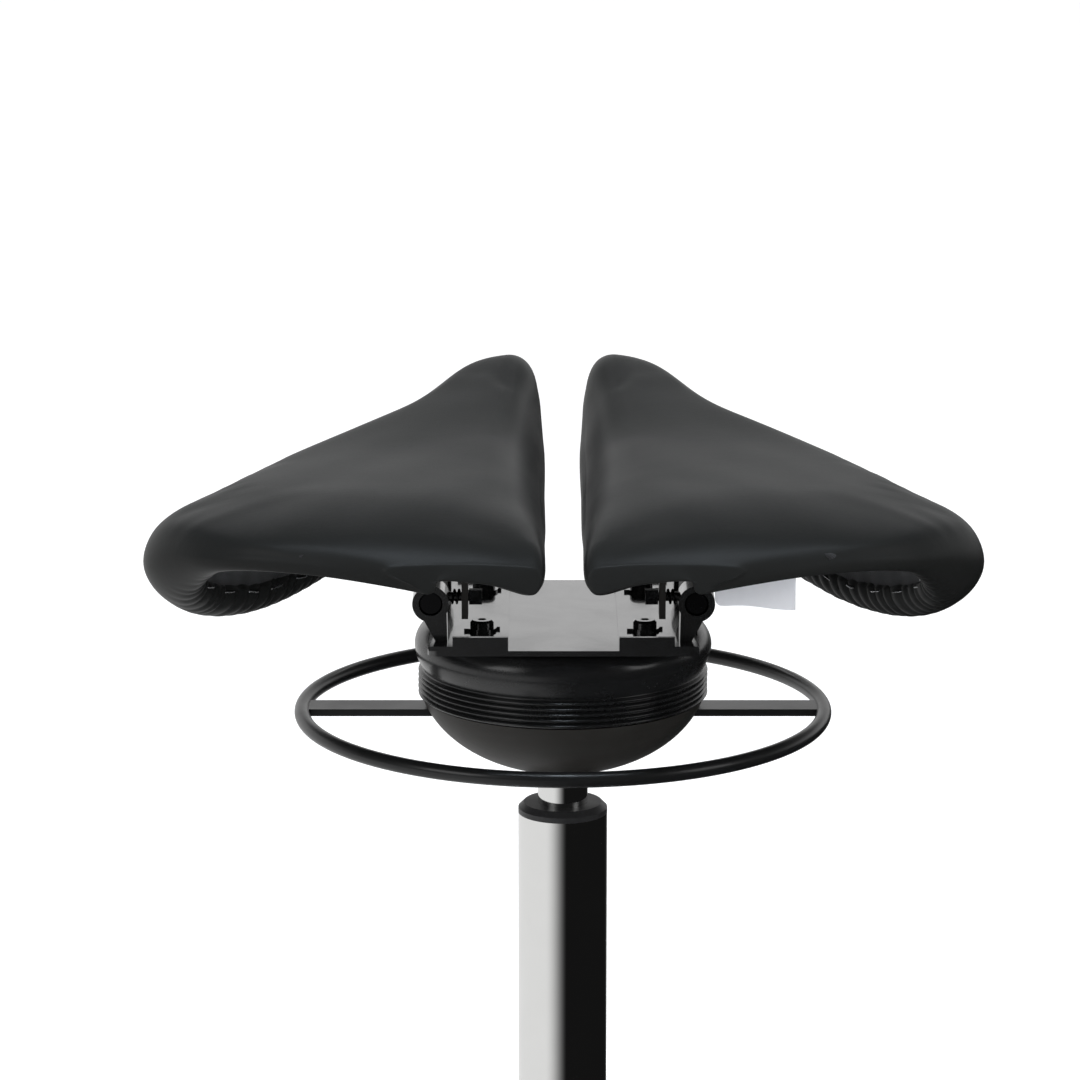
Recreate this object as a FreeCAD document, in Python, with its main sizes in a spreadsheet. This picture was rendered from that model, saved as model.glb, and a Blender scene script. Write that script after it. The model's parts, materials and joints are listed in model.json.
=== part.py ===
"""Saddle stool with a split seat on a swinging carrier, a gas lift and a five-arm base on twin-wheel castors.

Frame: +Z up, the floor at z = 0, the column's axis is the Z axis, the seat's nose points to +Y.
Lengths are millimetres.
"""

import math
import os

import FreeCAD
import Part
import Sketcher

DOCUMENT = FreeCAD.newDocument("saddle_stool")
SHEET = DOCUMENT.addObject("Spreadsheet::Sheet", "sizes")
V = FreeCAD.Vector
X_AXIS = V(1, 0, 0)
Y_AXIS = V(0, 1, 0)
Z_AXIS = V(0, 0, 1)
ORIGIN_POINT = (-1, 1)
SIDES = (("left", -1), ("right", 1))

# The driving sizes. Every other size in this file is worked out from these.
DRIVING_SIZES = {
    # five-arm base
    "base_arm_radius": 248.0,
    "base_hub_radius": 36.0,
    "base_hub_low": 58.0,
    "base_hub_top": 128.0,
    "arm_root_width": 44.0,
    "arm_root_low": 70.0,
    "arm_root_top": 116.0,
    "arm_tip_width": 30.0,
    "arm_tip_low": 72.0,
    "arm_tip_top": 92.0,
    "arm_boss_radius": 17.0,
    # castors
    "castor_stem_radius": 5.5,
    "castor_stem_height": 16.0,
    "castor_trail": 18.0,
    "wheel_radius": 29.0,
    "wheel_width": 18.0,
    "wheel_bore_radius": 4.0,
    "wheel_tread": 4.0,
    "wheel_gap": 13.0,
    "hood_web": 7.0,
    "hood_wall": 2.5,
    "hood_clearance": 2.5,
    # gas column
    "tube_radius": 25.0,
    "tube_wall": 2.0,
    "tube_low": 62.0,
    "tube_top": 355.0,
    "tube_taper_height": 60.0,
    "tube_taper_drop": 1.2,
    "collar_height": 6.0,
    "collar_chamfer": 3.0,
    "sleeve_length": 90.0,
    "lift_radius": 14.0,
    "lift_wall": 1.8,
    "lift_low": 76.0,
    "lift_stroke": 190.0,
    "rod_radius": 5.0,
    "running_clearance": 0.05,
    # swing head
    "handle_height": 415.0,
    "handle_radius": 150.0,
    "handle_wire": 8.5,
    "bar_width": 20.0,
    "bar_thickness": 4.0,
    "bar_press": 3.2,
    "bowl_radius": 80.8,
    "bowl_half_height": 55.4,
    "bowl_centre_rise": 21.3,
    "bowl_rim_rise": 9.0,
    "bowl_flat_drop": 33.5,
    "bowl_wall": 2.0,
    "socket_radius": 20.0,
    "socket_top_drop": 8.0,
    "taper_drop": 0.8,
    "pivot_drop": 15.5,
    "gimbal_inner": 24.0,
    "gimbal_outer": 32.0,
    "gimbal_height": 11.0,
    "gimbal_pin_radius": 3.5,
    "leg_gap": 0.6,
    "leg_thickness": 5.0,
    "leg_width": 18.0,
    "carrier_radius": 73.0,
    "carrier_rise": 31.0,
    "carrier_thickness": 4.0,
    "shelf_thickness": 3.0,
    "buffer_radius": 9.0,
    "buffer_circle_radius": 60.0,
    # bellows
    "bellows_wall": 2.0,
    "bellows_radius": 79.4,
    "shoulder_radius": 82.7,
    "shoulder_round": 13.0,
    "rib_pitch": 4.6,
    "rib_depth": 2.6,
    # seat plate, brackets and hinges
    "plate_width": 147.0,
    "plate_depth": 164.0,
    "plate_thickness": 3.0,
    "plate_rise": 54.0,
    "bolt_spacing_wide": 89.0,
    "bolt_spacing_deep": 90.0,
    "bolt_radius": 4.0,
    "bolt_head_radius": 6.5,
    "bolt_head_height": 4.4,
    "washer_radius": 8.0,
    "washer_thickness": 1.6,
    "foot_thickness": 2.5,
    "foot_inner": 30.0,
    "foot_outer": 73.0,
    "lip_outer": 60.0,
    "lip_height": 7.5,
    "hinge_offset": 72.0,
    "hinge_rise": 77.0,
    "hinge_boss_radius": 10.0,
    "hinge_pin_radius": 4.0,
    "pin_head_radius": 6.5,
    "pin_head_height": 2.0,
    "pin_recess": 3.5,
    "post_outer_end": 70.0,
    "post_length": 20.0,
    "post_foot_width": 6.0,
    "knuckle_radius": 8.5,
    "knuckle_length": 24.0,
    "arm_plate_thickness": 3.0,
    "arm_plate_depth": 150.0,
    "arm_plate_inner": 40.0,
    "arm_plate_outer": 106.0,
    "arm_corner_width": 22.0,
    "arm_corner_depth": 55.0,
    "arm_flange_drop": 9.0,
    "ear_thickness": 3.5,
    "ear_drop": 9.0,
    "ear_width": 14.0,
    "limit_bolt_radius": 2.5,
    "limit_bolt_rise": 2.0,
    "limit_play": 1.5,
    "limit_nut_gap": 0.5,
    "limit_spring_wire": 1.2,
    "limit_spring_gap": 6.7,
    # seat halves
    "seat_width": 454.0,
    "seat_length": 377.0,
    "seat_rear": 172.0,
    "seat_gap": 14.0,
    "seat_base_rise": 106.0,
    "cover_thickness": 1.5,
    "shell_thickness": 6.0,
    "hem_width": 24.0,
    "label_width": 46.0,
    "label_drop": 16.0,
    "label_thickness": 0.6,
    "label_offset": 104.0,
    "channel_wall": 5.0,
    "seating_gap": 0.3,
}


class Size:
    """A length that knows both its value and the sheet expression that gives it."""

    def __init__(self, value, text):
        self.value = float(value)
        self.text = text

    def _join(self, other, sign, value):
        return Size(value, "(%s %s %s)" % (self.text, sign, as_size(other).text))

    def __add__(self, other):
        return self._join(other, "+", self.value + as_size(other).value)

    def __sub__(self, other):
        return self._join(other, "-", self.value - as_size(other).value)

    def __mul__(self, other):
        return self._join(other, "*", self.value * as_size(other).value)

    def __truediv__(self, other):
        return self._join(other, "/", self.value / as_size(other).value)

    def __neg__(self):
        return Size(-self.value, "(0 - %s)" % self.text)

    def __radd__(self, other):
        return as_size(other) + self

    def __rsub__(self, other):
        return as_size(other) - self

    def __rmul__(self, other):
        return as_size(other) * self


def as_size(value):
    return value if isinstance(value, Size) else Size(value, "%.9g" % value)


def root_of(size):
    return Size(math.sqrt(size.value), "sqrt(%s)" % size.text)


class Sizes:
    """The sheet's cells by name."""


def fill_sheet():
    named = Sizes()
    for row, (name, value) in enumerate(DRIVING_SIZES.items(), start=1):
        SHEET.set("A%d" % row, name)
        SHEET.set("B%d" % row, "%g" % value)
        SHEET.setAlias("B%d" % row, name)
        setattr(named, name, Size(value, "sizes.%s" % name))
    DOCUMENT.recompute()
    return named


S = fill_sheet()


def bind(thing, path, size):
    """Binds a property to the sheet, and sets its value first."""
    thing.setExpression(path, as_size(size).text)


def new_body(label):
    body = DOCUMENT.addObject("PartDesign::Body", label)
    body.Label = label
    return body


def origin_plane(body, role):
    return [f for f in body.Origin.OriginFeatures if f.Role == role][0]


def place(thing, x=0, y=0, z=0, turn=0.0, axis=Z_AXIS):
    """Places a sub-part, with its position bound to the sheet."""
    x, y, z = as_size(x), as_size(y), as_size(z)
    thing.Placement = FreeCAD.Placement(V(x.value, y.value, z.value), FreeCAD.Rotation(axis, turn))
    bind(thing, "Placement.Base.x", x)
    bind(thing, "Placement.Base.y", y)
    bind(thing, "Placement.Base.z", z)


def new_sketch(body, name, plane="XZ_Plane", offset=None):
    sketch = body.newObject("Sketcher::SketchObject", name)
    sketch.AttachmentSupport = (origin_plane(body, plane), [""])
    sketch.MapMode = "FlatFace"
    if offset is not None:
        bind(sketch, "AttachmentOffset.Base.z", offset)
    return sketch


def fix_distance(sketch, kind, geometry, point, size):
    size = as_size(size)
    index = sketch.addConstraint(
        Sketcher.Constraint(kind, ORIGIN_POINT[0], ORIGIN_POINT[1], geometry, point, size.value)
    )
    if "sizes." in size.text:
        bind(sketch, "Constraints[%d]" % index, size)


def arc_centre(start, end, radius, left):
    """Centre of the arc of that radius from start to end, which turns left or right."""
    middle = (start + end) * 0.5
    chord = end - start
    across = V(-chord.y, chord.x, 0).normalize()
    reach = math.sqrt(max(radius ** 2 - chord.Length ** 2 / 4.0, 0.0))
    return middle + across * (reach if left else -reach)


def add_outline(sketch, points, arcs=()):
    """Closed outline through points, whose sides are lines, or arcs given as side: (radius, turns left)."""
    arcs = dict(arcs)
    points = [(as_size(x), as_size(y)) for x, y in points]
    spots = [V(x.value, y.value, 0) for x, y in points]
    count = len(points)
    ends = []
    for side in range(count):
        start, end = spots[side], spots[(side + 1) % count]
        if side in arcs:
            radius, left = as_size(arcs[side][0]), arcs[side][1]
            centre = arc_centre(start, end, radius.value, left)
            first, last = (start, end) if left else (end, start)
            angles = [math.atan2(p.y - centre.y, p.x - centre.x) for p in (first, last)]
            if angles[1] < angles[0]:
                angles[1] += 2 * math.pi
            circle = Part.Circle(centre, Z_AXIS, radius.value)
            index = sketch.addGeometry(Part.ArcOfCircle(circle, angles[0], angles[1]), False)
            ends.append((index, 1, 2) if left else (index, 2, 1))
            rule = sketch.addConstraint(Sketcher.Constraint("Radius", index, radius.value))
            if "sizes." in radius.text:
                bind(sketch, "Constraints[%d]" % rule, radius)
        else:
            index = sketch.addGeometry(Part.LineSegment(start, end), False)
            ends.append((index, 1, 2))
    for side in range(count):
        index, start_point, end_point = ends[side]
        following = ends[(side + 1) % count]
        sketch.addConstraint(Sketcher.Constraint("Coincident", index, end_point, following[0], following[1]))
        fix_distance(sketch, "DistanceX", index, start_point, points[side][0])
        fix_distance(sketch, "DistanceY", index, start_point, points[side][1])


def add_circle(sketch, x, y, radius):
    x, y, radius = as_size(x), as_size(y), as_size(radius)
    index = sketch.addGeometry(Part.Circle(V(x.value, y.value, 0), Z_AXIS, radius.value), False)
    rule = sketch.addConstraint(Sketcher.Constraint("Radius", index, radius.value))
    bind(sketch, "Constraints[%d]" % rule, radius)
    fix_distance(sketch, "DistanceX", index, 3, x)
    fix_distance(sketch, "DistanceY", index, 3, y)


def rectangle(x_low, y_low, x_high, y_high):
    return [(x_low, y_low), (x_high, y_low), (x_high, y_high), (x_low, y_high)]


def revolve(body, name, points, arcs=(), groove=False):
    """Turns an outline in the XZ plane round the body's Z axis."""
    sketch = new_sketch(body, name + "_outline")
    add_outline(sketch, points, arcs)
    kind = "PartDesign::Groove" if groove else "PartDesign::Revolution"
    feature = body.newObject(kind, name)
    feature.Profile = sketch
    feature.ReferenceAxis = (sketch, ["V_Axis"])
    feature.Angle = 360.0
    return feature


def pad(body, name, sketch, length, both_ways=False, backwards=False):
    feature = body.newObject("PartDesign::Pad", name)
    feature.Profile = sketch
    bind(feature, "Length", length)
    feature.Midplane = both_ways
    feature.Reversed = backwards
    return feature


def pocket(body, name, sketch, length, both_ways=False, backwards=False):
    feature = body.newObject("PartDesign::Pocket", name)
    feature.Profile = sketch
    bind(feature, "Length", length)
    feature.Midplane = both_ways
    feature.Reversed = backwards
    return feature


def through_pocket(body, name, sketch):
    feature = body.newObject("PartDesign::Pocket", name)
    feature.Profile = sketch
    feature.Type = 1
    feature.Midplane = True
    return feature


def polar(body, name, features, count):
    pattern = body.newObject("PartDesign::PolarPattern", name)
    pattern.Originals = features
    pattern.Axis = (origin_axis(body, "Z_Axis"), [""])
    pattern.Angle = 360.0
    pattern.Occurrences = count
    body.Tip = pattern
    return pattern


def origin_axis(body, role):
    return [f for f in body.Origin.OriginFeatures if f.Role == role][0]


def mirrored(body, name, features, plane):
    """Repeats features on the other side of one of the body's origin planes."""
    pattern = body.newObject("PartDesign::Mirrored", name)
    pattern.Originals = features
    pattern.MirrorPlane = (origin_plane(body, plane), [""])
    body.Tip = pattern
    return pattern


def shape_part(label, shape, x=0, y=0, z=0):
    """A sub-part whose shape is worked out by Part's own functions."""
    thing = DOCUMENT.addObject("Part::Feature", label)
    thing.Label = label
    thing.Shape = shape
    place(thing, x, y, z)
    return thing


# Heights that several sub-parts share.
ARM_COUNT = 5
ARM_STEP = 360.0 / ARM_COUNT
FIRST_ARM = 90.0
WHEEL_CENTRE = S.wheel_radius
HANDLE_Z = S.handle_height
BAR_LOW = HANDLE_Z - S.bar_thickness / 2
BAR_TOP = HANDLE_Z + S.bar_thickness / 2
PIVOT_Z = HANDLE_Z - S.pivot_drop
SOCKET_TOP = HANDLE_Z - S.socket_top_drop
BOWL_LOW = HANDLE_Z - S.bowl_flat_drop
RIM_Z = HANDLE_Z + S.bowl_rim_rise
CARRIER_LOW = HANDLE_Z + S.carrier_rise
CARRIER_TOP = CARRIER_LOW + S.carrier_thickness
PLATE_TOP = HANDLE_Z + S.plate_rise
PLATE_LOW = PLATE_TOP - S.plate_thickness
BELLOWS_TOP = PLATE_LOW
BOSS_TOP = BELLOWS_TOP - S.bellows_wall
FOOT_TOP = PLATE_TOP + S.foot_thickness
HINGE_Z = HANDLE_Z + S.hinge_rise
SEAT_BASE = HANDLE_Z + S.seat_base_rise
ARM_PLATE_TOP = SEAT_BASE - S.seating_gap
ARM_PLATE_LOW = ARM_PLATE_TOP - S.arm_plate_thickness
TUBE_BORE = S.tube_radius - S.tube_wall
LIFT_BORE = S.lift_radius - S.lift_wall
TUBE_FLOOR = S.tube_low + S.tube_wall


# Five-arm base

def base_star():
    """Cast hub and five tapered arms, each with a boss and a blind socket for a castor stem."""
    body = new_body("base_star")
    revolve(body, "hub", [
        (0, S.base_hub_low),
        (S.base_hub_radius, S.base_hub_low),
        (S.base_hub_radius, S.base_hub_top - 10),
        (S.base_hub_radius - 6, S.base_hub_top),
        (0, S.base_hub_top),
    ])
    root_half = S.arm_root_width / 2
    tip_half = S.arm_tip_width / 2
    root = new_sketch(body, "arm_root", "YZ_Plane", S.base_hub_radius / 2)
    add_outline(root, [
        (-root_half, S.arm_root_low), (root_half, S.arm_root_low),
        (root_half, S.arm_root_top - 12), (-root_half, S.arm_root_top - 12),
    ], {2: (S.arm_root_width * 0.58, True)})
    tip = new_sketch(body, "arm_tip", "YZ_Plane", S.base_arm_radius)
    add_outline(tip, [
        (-tip_half, S.arm_tip_low), (tip_half, S.arm_tip_low),
        (tip_half, S.arm_tip_top - 6), (-tip_half, S.arm_tip_top - 6),
    ], {2: (S.arm_tip_width * 0.7, True)})
    arm = body.newObject("PartDesign::AdditiveLoft", "arm")
    arm.Profile = root
    arm.Sections = [tip]
    arm.Ruled = True
    boss_outline = new_sketch(body, "boss_outline", "XY_Plane", S.arm_tip_low - 2)
    add_circle(boss_outline, S.base_arm_radius, 0, S.arm_boss_radius)
    boss = pad(body, "boss", boss_outline, S.arm_tip_top - S.arm_tip_low + 2)
    DOCUMENT.recompute()
    polar(body, "arms", [arm, boss], ARM_COUNT)
    root_cut = new_sketch(body, "channel_root", "YZ_Plane", S.base_hub_radius - S.channel_wall)
    cut_half = root_half - S.channel_wall
    add_outline(root_cut, rectangle(-cut_half, S.arm_root_low - 10, cut_half, S.arm_root_top - 12 - S.channel_wall))
    tip_cut = new_sketch(body, "channel_tip", "YZ_Plane", S.base_arm_radius - S.arm_boss_radius - 3)
    cut_half = tip_half - S.channel_wall
    add_outline(tip_cut, rectangle(-cut_half, S.arm_tip_low - 10, cut_half, S.arm_tip_top - 6 - S.channel_wall))
    channel = body.newObject("PartDesign::SubtractiveLoft", "channel")
    channel.Profile = root_cut
    channel.Sections = [tip_cut]
    channel.Ruled = True
    DOCUMENT.recompute()
    polar(body, "channels", [channel], ARM_COUNT)
    sockets = new_sketch(body, "stem_sockets", "XY_Plane", S.arm_tip_low - 2)
    for number in range(ARM_COUNT):
        angle = math.radians(number * ARM_STEP)
        add_circle(sockets, S.base_arm_radius * math.cos(angle), S.base_arm_radius * math.sin(angle),
                   S.castor_stem_radius)
    body.Tip = pocket(body, "sockets", sockets, S.castor_stem_height, backwards=True)
    low_radius = S.tube_radius - S.tube_taper_drop * (S.tube_low + S.tube_taper_height - S.base_hub_low) \
        / S.tube_taper_height
    body.Tip = revolve(body, "column_bore", [
        (0, S.base_hub_low),
        (low_radius, S.base_hub_low),
        (S.tube_radius, S.tube_low + S.tube_taper_height),
        (S.tube_radius, S.base_hub_top),
        (0, S.base_hub_top),
    ], groove=True)
    place(body, turn=FIRST_ARM)
    return body


def castor_stems():
    """Steel stems pressed into the five arm bosses. Each castor swivels on the lower end."""
    low = S.arm_tip_low - 2 - 12
    top = S.arm_tip_low - 2 + S.castor_stem_height
    stems = []
    for number in range(ARM_COUNT):
        angle = math.radians(FIRST_ARM + number * ARM_STEP)
        spot = V(math.cos(angle), math.sin(angle), 0) * S.base_arm_radius.value + V(0, 0, low.value)
        stems.append(Part.makeCylinder(S.castor_stem_radius.value, (top - low).value, spot))
    return shape_part("castor_stems", Part.makeCompound(stems))


# Castors

def castor_place(body, number):
    """Puts a castor part, drawn round its own stem axis with +X outwards, under its arm."""
    angle = FIRST_ARM + number * ARM_STEP
    turn = math.radians(angle)
    place(body, S.base_arm_radius * math.cos(turn), S.base_arm_radius * math.sin(turn), 0, angle)


def castor_hood(number):
    """Moulded hood: a web between the wheels, a roof over them and a boss for the stem."""
    body = new_body("castor_%d_hood" % number)
    reach = S.wheel_radius + S.hood_clearance
    roof_radius = reach + S.hood_wall
    centre_x = S.castor_trail
    boss_low = S.arm_tip_low - 2 - 13
    boss_top = S.arm_tip_low - 2 - S.seating_gap
    web = new_sketch(body, "web_outline")
    add_circle(web, centre_x, WHEEL_CENTRE, S.wheel_radius * 0.72)
    pad(body, "web", web, S.hood_web, both_ways=True)
    roof = new_sketch(body, "roof_outline")
    lean = math.radians(12)
    add_outline(roof, [
        (centre_x - roof_radius * math.cos(lean), WHEEL_CENTRE + roof_radius * math.sin(lean)),
        (centre_x - reach * math.cos(lean), WHEEL_CENTRE + reach * math.sin(lean)),
        (centre_x + reach * math.cos(lean), WHEEL_CENTRE + reach * math.sin(lean)),
        (centre_x + roof_radius * math.cos(lean), WHEEL_CENTRE + roof_radius * math.sin(lean)),
    ], {1: (reach, False), 3: (roof_radius, True)})
    pad(body, "roof", roof, S.wheel_gap + S.wheel_width * 2 - 4, both_ways=True)
    rib = new_sketch(body, "rib_outline")
    add_outline(rib, rectangle(centre_x - S.wheel_radius * 0.5, WHEEL_CENTRE,
                               centre_x + S.wheel_radius * 0.5, WHEEL_CENTRE + reach + 1))
    pad(body, "rib", rib, S.hood_web, both_ways=True)
    boss = new_sketch(body, "boss_outline", "XY_Plane", boss_low)
    add_circle(boss, 0, 0, S.castor_stem_radius + 3)
    pad(body, "boss", boss, boss_top - boss_low)
    DOCUMENT.recompute()
    bore = new_sketch(body, "stem_bore_outline", "XY_Plane", boss_top)
    add_circle(bore, 0, 0, S.castor_stem_radius + S.running_clearance)
    pocket(body, "stem_bore", bore, S.castor_stem_height - 3.7)
    axle_hole = new_sketch(body, "axle_hole_outline")
    add_circle(axle_hole, centre_x, WHEEL_CENTRE, S.wheel_bore_radius - S.running_clearance)
    body.Tip = through_pocket(body, "axle_hole", axle_hole)
    castor_place(body, number)
    return body


def castor_axle(number):
    """Steel axle held in the hood's web."""
    body = new_body("castor_%d_axle" % number)
    outline = new_sketch(body, "axle_outline")
    add_circle(outline, S.castor_trail, WHEEL_CENTRE, S.wheel_bore_radius - S.running_clearance)
    pad(body, "axle", outline, S.wheel_gap + S.wheel_width * 2 - 6, both_ways=True)
    castor_place(body, number)
    return body


def castor_wheel(number, side, sign):
    """Nylon wheel with a rounded tread and a dished outer face, drawn on its own axle as the Z axis."""
    label = "castor_%d_wheel_%s" % (number, side)
    body = new_body(label)
    bore = S.wheel_bore_radius
    rim = S.wheel_radius - S.wheel_tread
    width = S.wheel_width
    inner = S.wheel_gap / 2
    revolve(body, "wheel", [
        (bore, inner), (S.wheel_radius - 2, inner),
        (S.wheel_radius, inner + 2),
        (S.wheel_radius, inner + width - 5),
        (S.wheel_radius - 5, inner + width),
        (rim - 2, inner + width),
        (rim * 0.45, inner + width - 4),
        (bore, inner + width - 4),
    ], {3: (5.0, True)})
    angle = FIRST_ARM + number * ARM_STEP
    turn = math.radians(angle)
    reach = S.base_arm_radius + S.castor_trail
    tilt = FreeCAD.Rotation(X_AXIS, -90.0 * sign)
    heading = FreeCAD.Rotation(Z_AXIS, angle)
    x, y, z = reach * math.cos(turn), reach * math.sin(turn), WHEEL_CENTRE
    body.Placement = FreeCAD.Placement(V(x.value, y.value, z.value), heading.multiply(tilt))
    bind(body, "Placement.Base.x", x)
    bind(body, "Placement.Base.y", y)
    bind(body, "Placement.Base.z", z)
    return body


# Gas column

def tapered_radius(height):
    """Outer radius of the column tube at a height inside its lower taper."""
    return S.tube_radius - S.tube_taper_drop * (S.tube_low + S.tube_taper_height - height) / S.tube_taper_height


def column_tube():
    """Chromed outer tube, tapered at the foot and closed by a floor with a hole for the rod."""
    body = new_body("column_tube")
    foot = tapered_radius(S.tube_low)
    revolve(body, "tube", [
        (S.rod_radius + 1, S.tube_low),
        (foot, S.tube_low),
        (S.tube_radius, S.tube_low + S.tube_taper_height),
        (S.tube_radius, S.tube_top),
        (TUBE_BORE, S.tube_top),
        (TUBE_BORE, S.tube_low + S.tube_taper_height),
        (foot - S.tube_wall, TUBE_FLOOR),
        (S.rod_radius + 1, TUBE_FLOOR),
    ])
    place(body)
    return body


def guide_sleeve():
    """Black plastic guide in the tube's mouth, with the chamfered collar that shows on top."""
    body = new_body("guide_sleeve")
    bore = S.lift_radius + S.running_clearance
    top = S.tube_top + S.collar_height
    revolve(body, "sleeve", [
        (bore, S.tube_top - S.sleeve_length),
        (TUBE_BORE, S.tube_top - S.sleeve_length),
        (TUBE_BORE, S.tube_top),
        (S.tube_radius, S.tube_top),
        (S.tube_radius, top - S.collar_chamfer),
        (S.tube_radius - S.collar_chamfer, top),
        (bore, top),
    ])
    place(body)
    return body


def thrust_bearing():
    """Race and ball cage under the rod's shoulder, which carry the seat's weight and let it turn."""
    body = new_body("thrust_bearing")
    revolve(body, "bearing", [
        (S.rod_radius + 0.5, TUBE_FLOOR),
        (S.rod_radius + 7, TUBE_FLOOR),
        (S.rod_radius + 7, TUBE_FLOOR + 5),
        (S.rod_radius + 0.5, TUBE_FLOOR + 5),
    ])
    place(body)
    return body


ROD_SHOULDER = TUBE_FLOOR + 5 + S.seating_gap
PISTON_LOW = S.lift_low + S.lift_stroke + 18


def piston_rod():
    """Rod with a shoulder that stands on the thrust bearing and a groove for its clip."""
    body = new_body("piston_rod")
    end = S.tube_low - 4
    neck = S.rod_radius - 1
    revolve(body, "rod", [
        (0, end), (S.rod_radius, end),
        (S.rod_radius, end + 1.5), (neck, end + 1.5),
        (neck, end + 3), (S.rod_radius, end + 3),
        (S.rod_radius, ROD_SHOULDER), (S.rod_radius + 5, ROD_SHOULDER),
        (S.rod_radius + 5, ROD_SHOULDER + 3), (S.rod_radius, ROD_SHOULDER + 3),
        (S.rod_radius, PISTON_LOW), (0, PISTON_LOW),
    ])
    place(body)
    return body


def piston_head():
    """Piston with its seal groove, at the top of the rod inside the gas cylinder."""
    body = new_body("piston_head")
    radius = LIFT_BORE - S.running_clearance
    revolve(body, "piston", [
        (0, PISTON_LOW), (radius, PISTON_LOW),
        (radius, PISTON_LOW + 3), (radius - 2, PISTON_LOW + 3),
        (radius - 2, PISTON_LOW + 6), (radius, PISTON_LOW + 6),
        (radius, PISTON_LOW + 9), (0, PISTON_LOW + 9),
    ])
    place(body)
    return body


def rod_clip():
    """Spring clip in the rod's groove, which keeps the column together when the stool is lifted."""
    body = new_body("rod_clip")
    low = S.tube_low - 4 + 1.5
    outline = new_sketch(body, "clip_outline", "XY_Plane", low)
    add_circle(outline, 0, 0, S.rod_radius + 4)
    add_circle(outline, 0, 0, S.rod_radius - 1)
    pad(body, "clip", outline, 1.5)
    slot = new_sketch(body, "clip_mouth_outline", "XY_Plane", low)
    add_outline(slot, rectangle(0, -3, S.rod_radius + 5, 3))
    body.Tip = pocket(body, "clip_mouth", slot, 1.5, backwards=True)
    place(body)
    return body


TAPER_LOW = BOWL_LOW - 6
VALVE_RADIUS = 3.0
VALVE_BORE_DEPTH = 12.0


def gas_cylinder():
    """Pressure tube: straight below, tapered where the hub holds it, and closed round the valve pin."""
    body = new_body("gas_cylinder")
    tip = S.lift_radius - S.taper_drop
    inner_top = SOCKET_TOP - VALVE_BORE_DEPTH - 6
    valve = VALVE_RADIUS + S.running_clearance
    revolve(body, "cylinder", [
        (LIFT_BORE, S.lift_low), (S.lift_radius, S.lift_low),
        (S.lift_radius, TAPER_LOW), (tip, SOCKET_TOP),
        (valve, SOCKET_TOP), (valve, SOCKET_TOP - VALVE_BORE_DEPTH),
        (0, SOCKET_TOP - VALVE_BORE_DEPTH), (0, inner_top), (LIFT_BORE, inner_top),
    ])
    place(body)
    return body


def cylinder_gland():
    """Rod guide and gas seal, crimped into the cylinder's lower end."""
    body = new_body("cylinder_gland")
    revolve(body, "gland", [
        (S.rod_radius + S.running_clearance, S.lift_low + 2),
        (LIFT_BORE, S.lift_low + 2),
        (LIFT_BORE, S.lift_low + 14),
        (S.rod_radius + S.running_clearance, S.lift_low + 14),
    ])
    place(body)
    return body


def valve_pin():
    """Release pin with a domed head, pushed down by the handle's bar."""
    body = new_body("valve_pin")
    low = SOCKET_TOP - VALVE_BORE_DEPTH + S.bar_press + 1
    top = BAR_LOW - S.seating_gap
    revolve(body, "pin", [
        (0, low), (VALVE_RADIUS, low), (VALVE_RADIUS, top - 1), (VALVE_RADIUS - 1, top), (0, top),
    ])
    place(body)
    return body


# Swing head

BOWL_CENTRE = HANDLE_Z + S.bowl_centre_rise
BOWL_INNER_RADIUS = S.bowl_radius - S.bowl_wall
BOWL_INNER_HALF = S.bowl_centre_rise + S.bowl_flat_drop - S.bowl_wall


def bowl_floor_at(radius):
    """Height of the bowl's inside surface at a radius."""
    share = radius / BOWL_INNER_RADIUS
    return BOWL_CENTRE - BOWL_INNER_HALF * root_of(1 - share * share)


def tilt_hub():
    """Socket that grips the cylinder's taper. Its sides carry the gimbal's first pair of pins."""
    body = new_body("tilt_hub")
    tip = S.lift_radius - S.taper_drop
    span = SOCKET_TOP - TAPER_LOW
    low = bowl_floor_at(S.socket_radius)
    bore_low = S.lift_radius - S.taper_drop * (low - TAPER_LOW) / span
    revolve(body, "socket", [
        (bore_low, low), (S.socket_radius, low), (S.socket_radius, SOCKET_TOP), (tip, SOCKET_TOP),
    ])
    holes = new_sketch(body, "pin_hole_outline", "YZ_Plane")
    add_circle(holes, 0, PIVOT_Z, S.gimbal_pin_radius + S.running_clearance)
    body.Tip = through_pocket(body, "pin_holes", holes)
    place(body)
    return body


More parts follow.
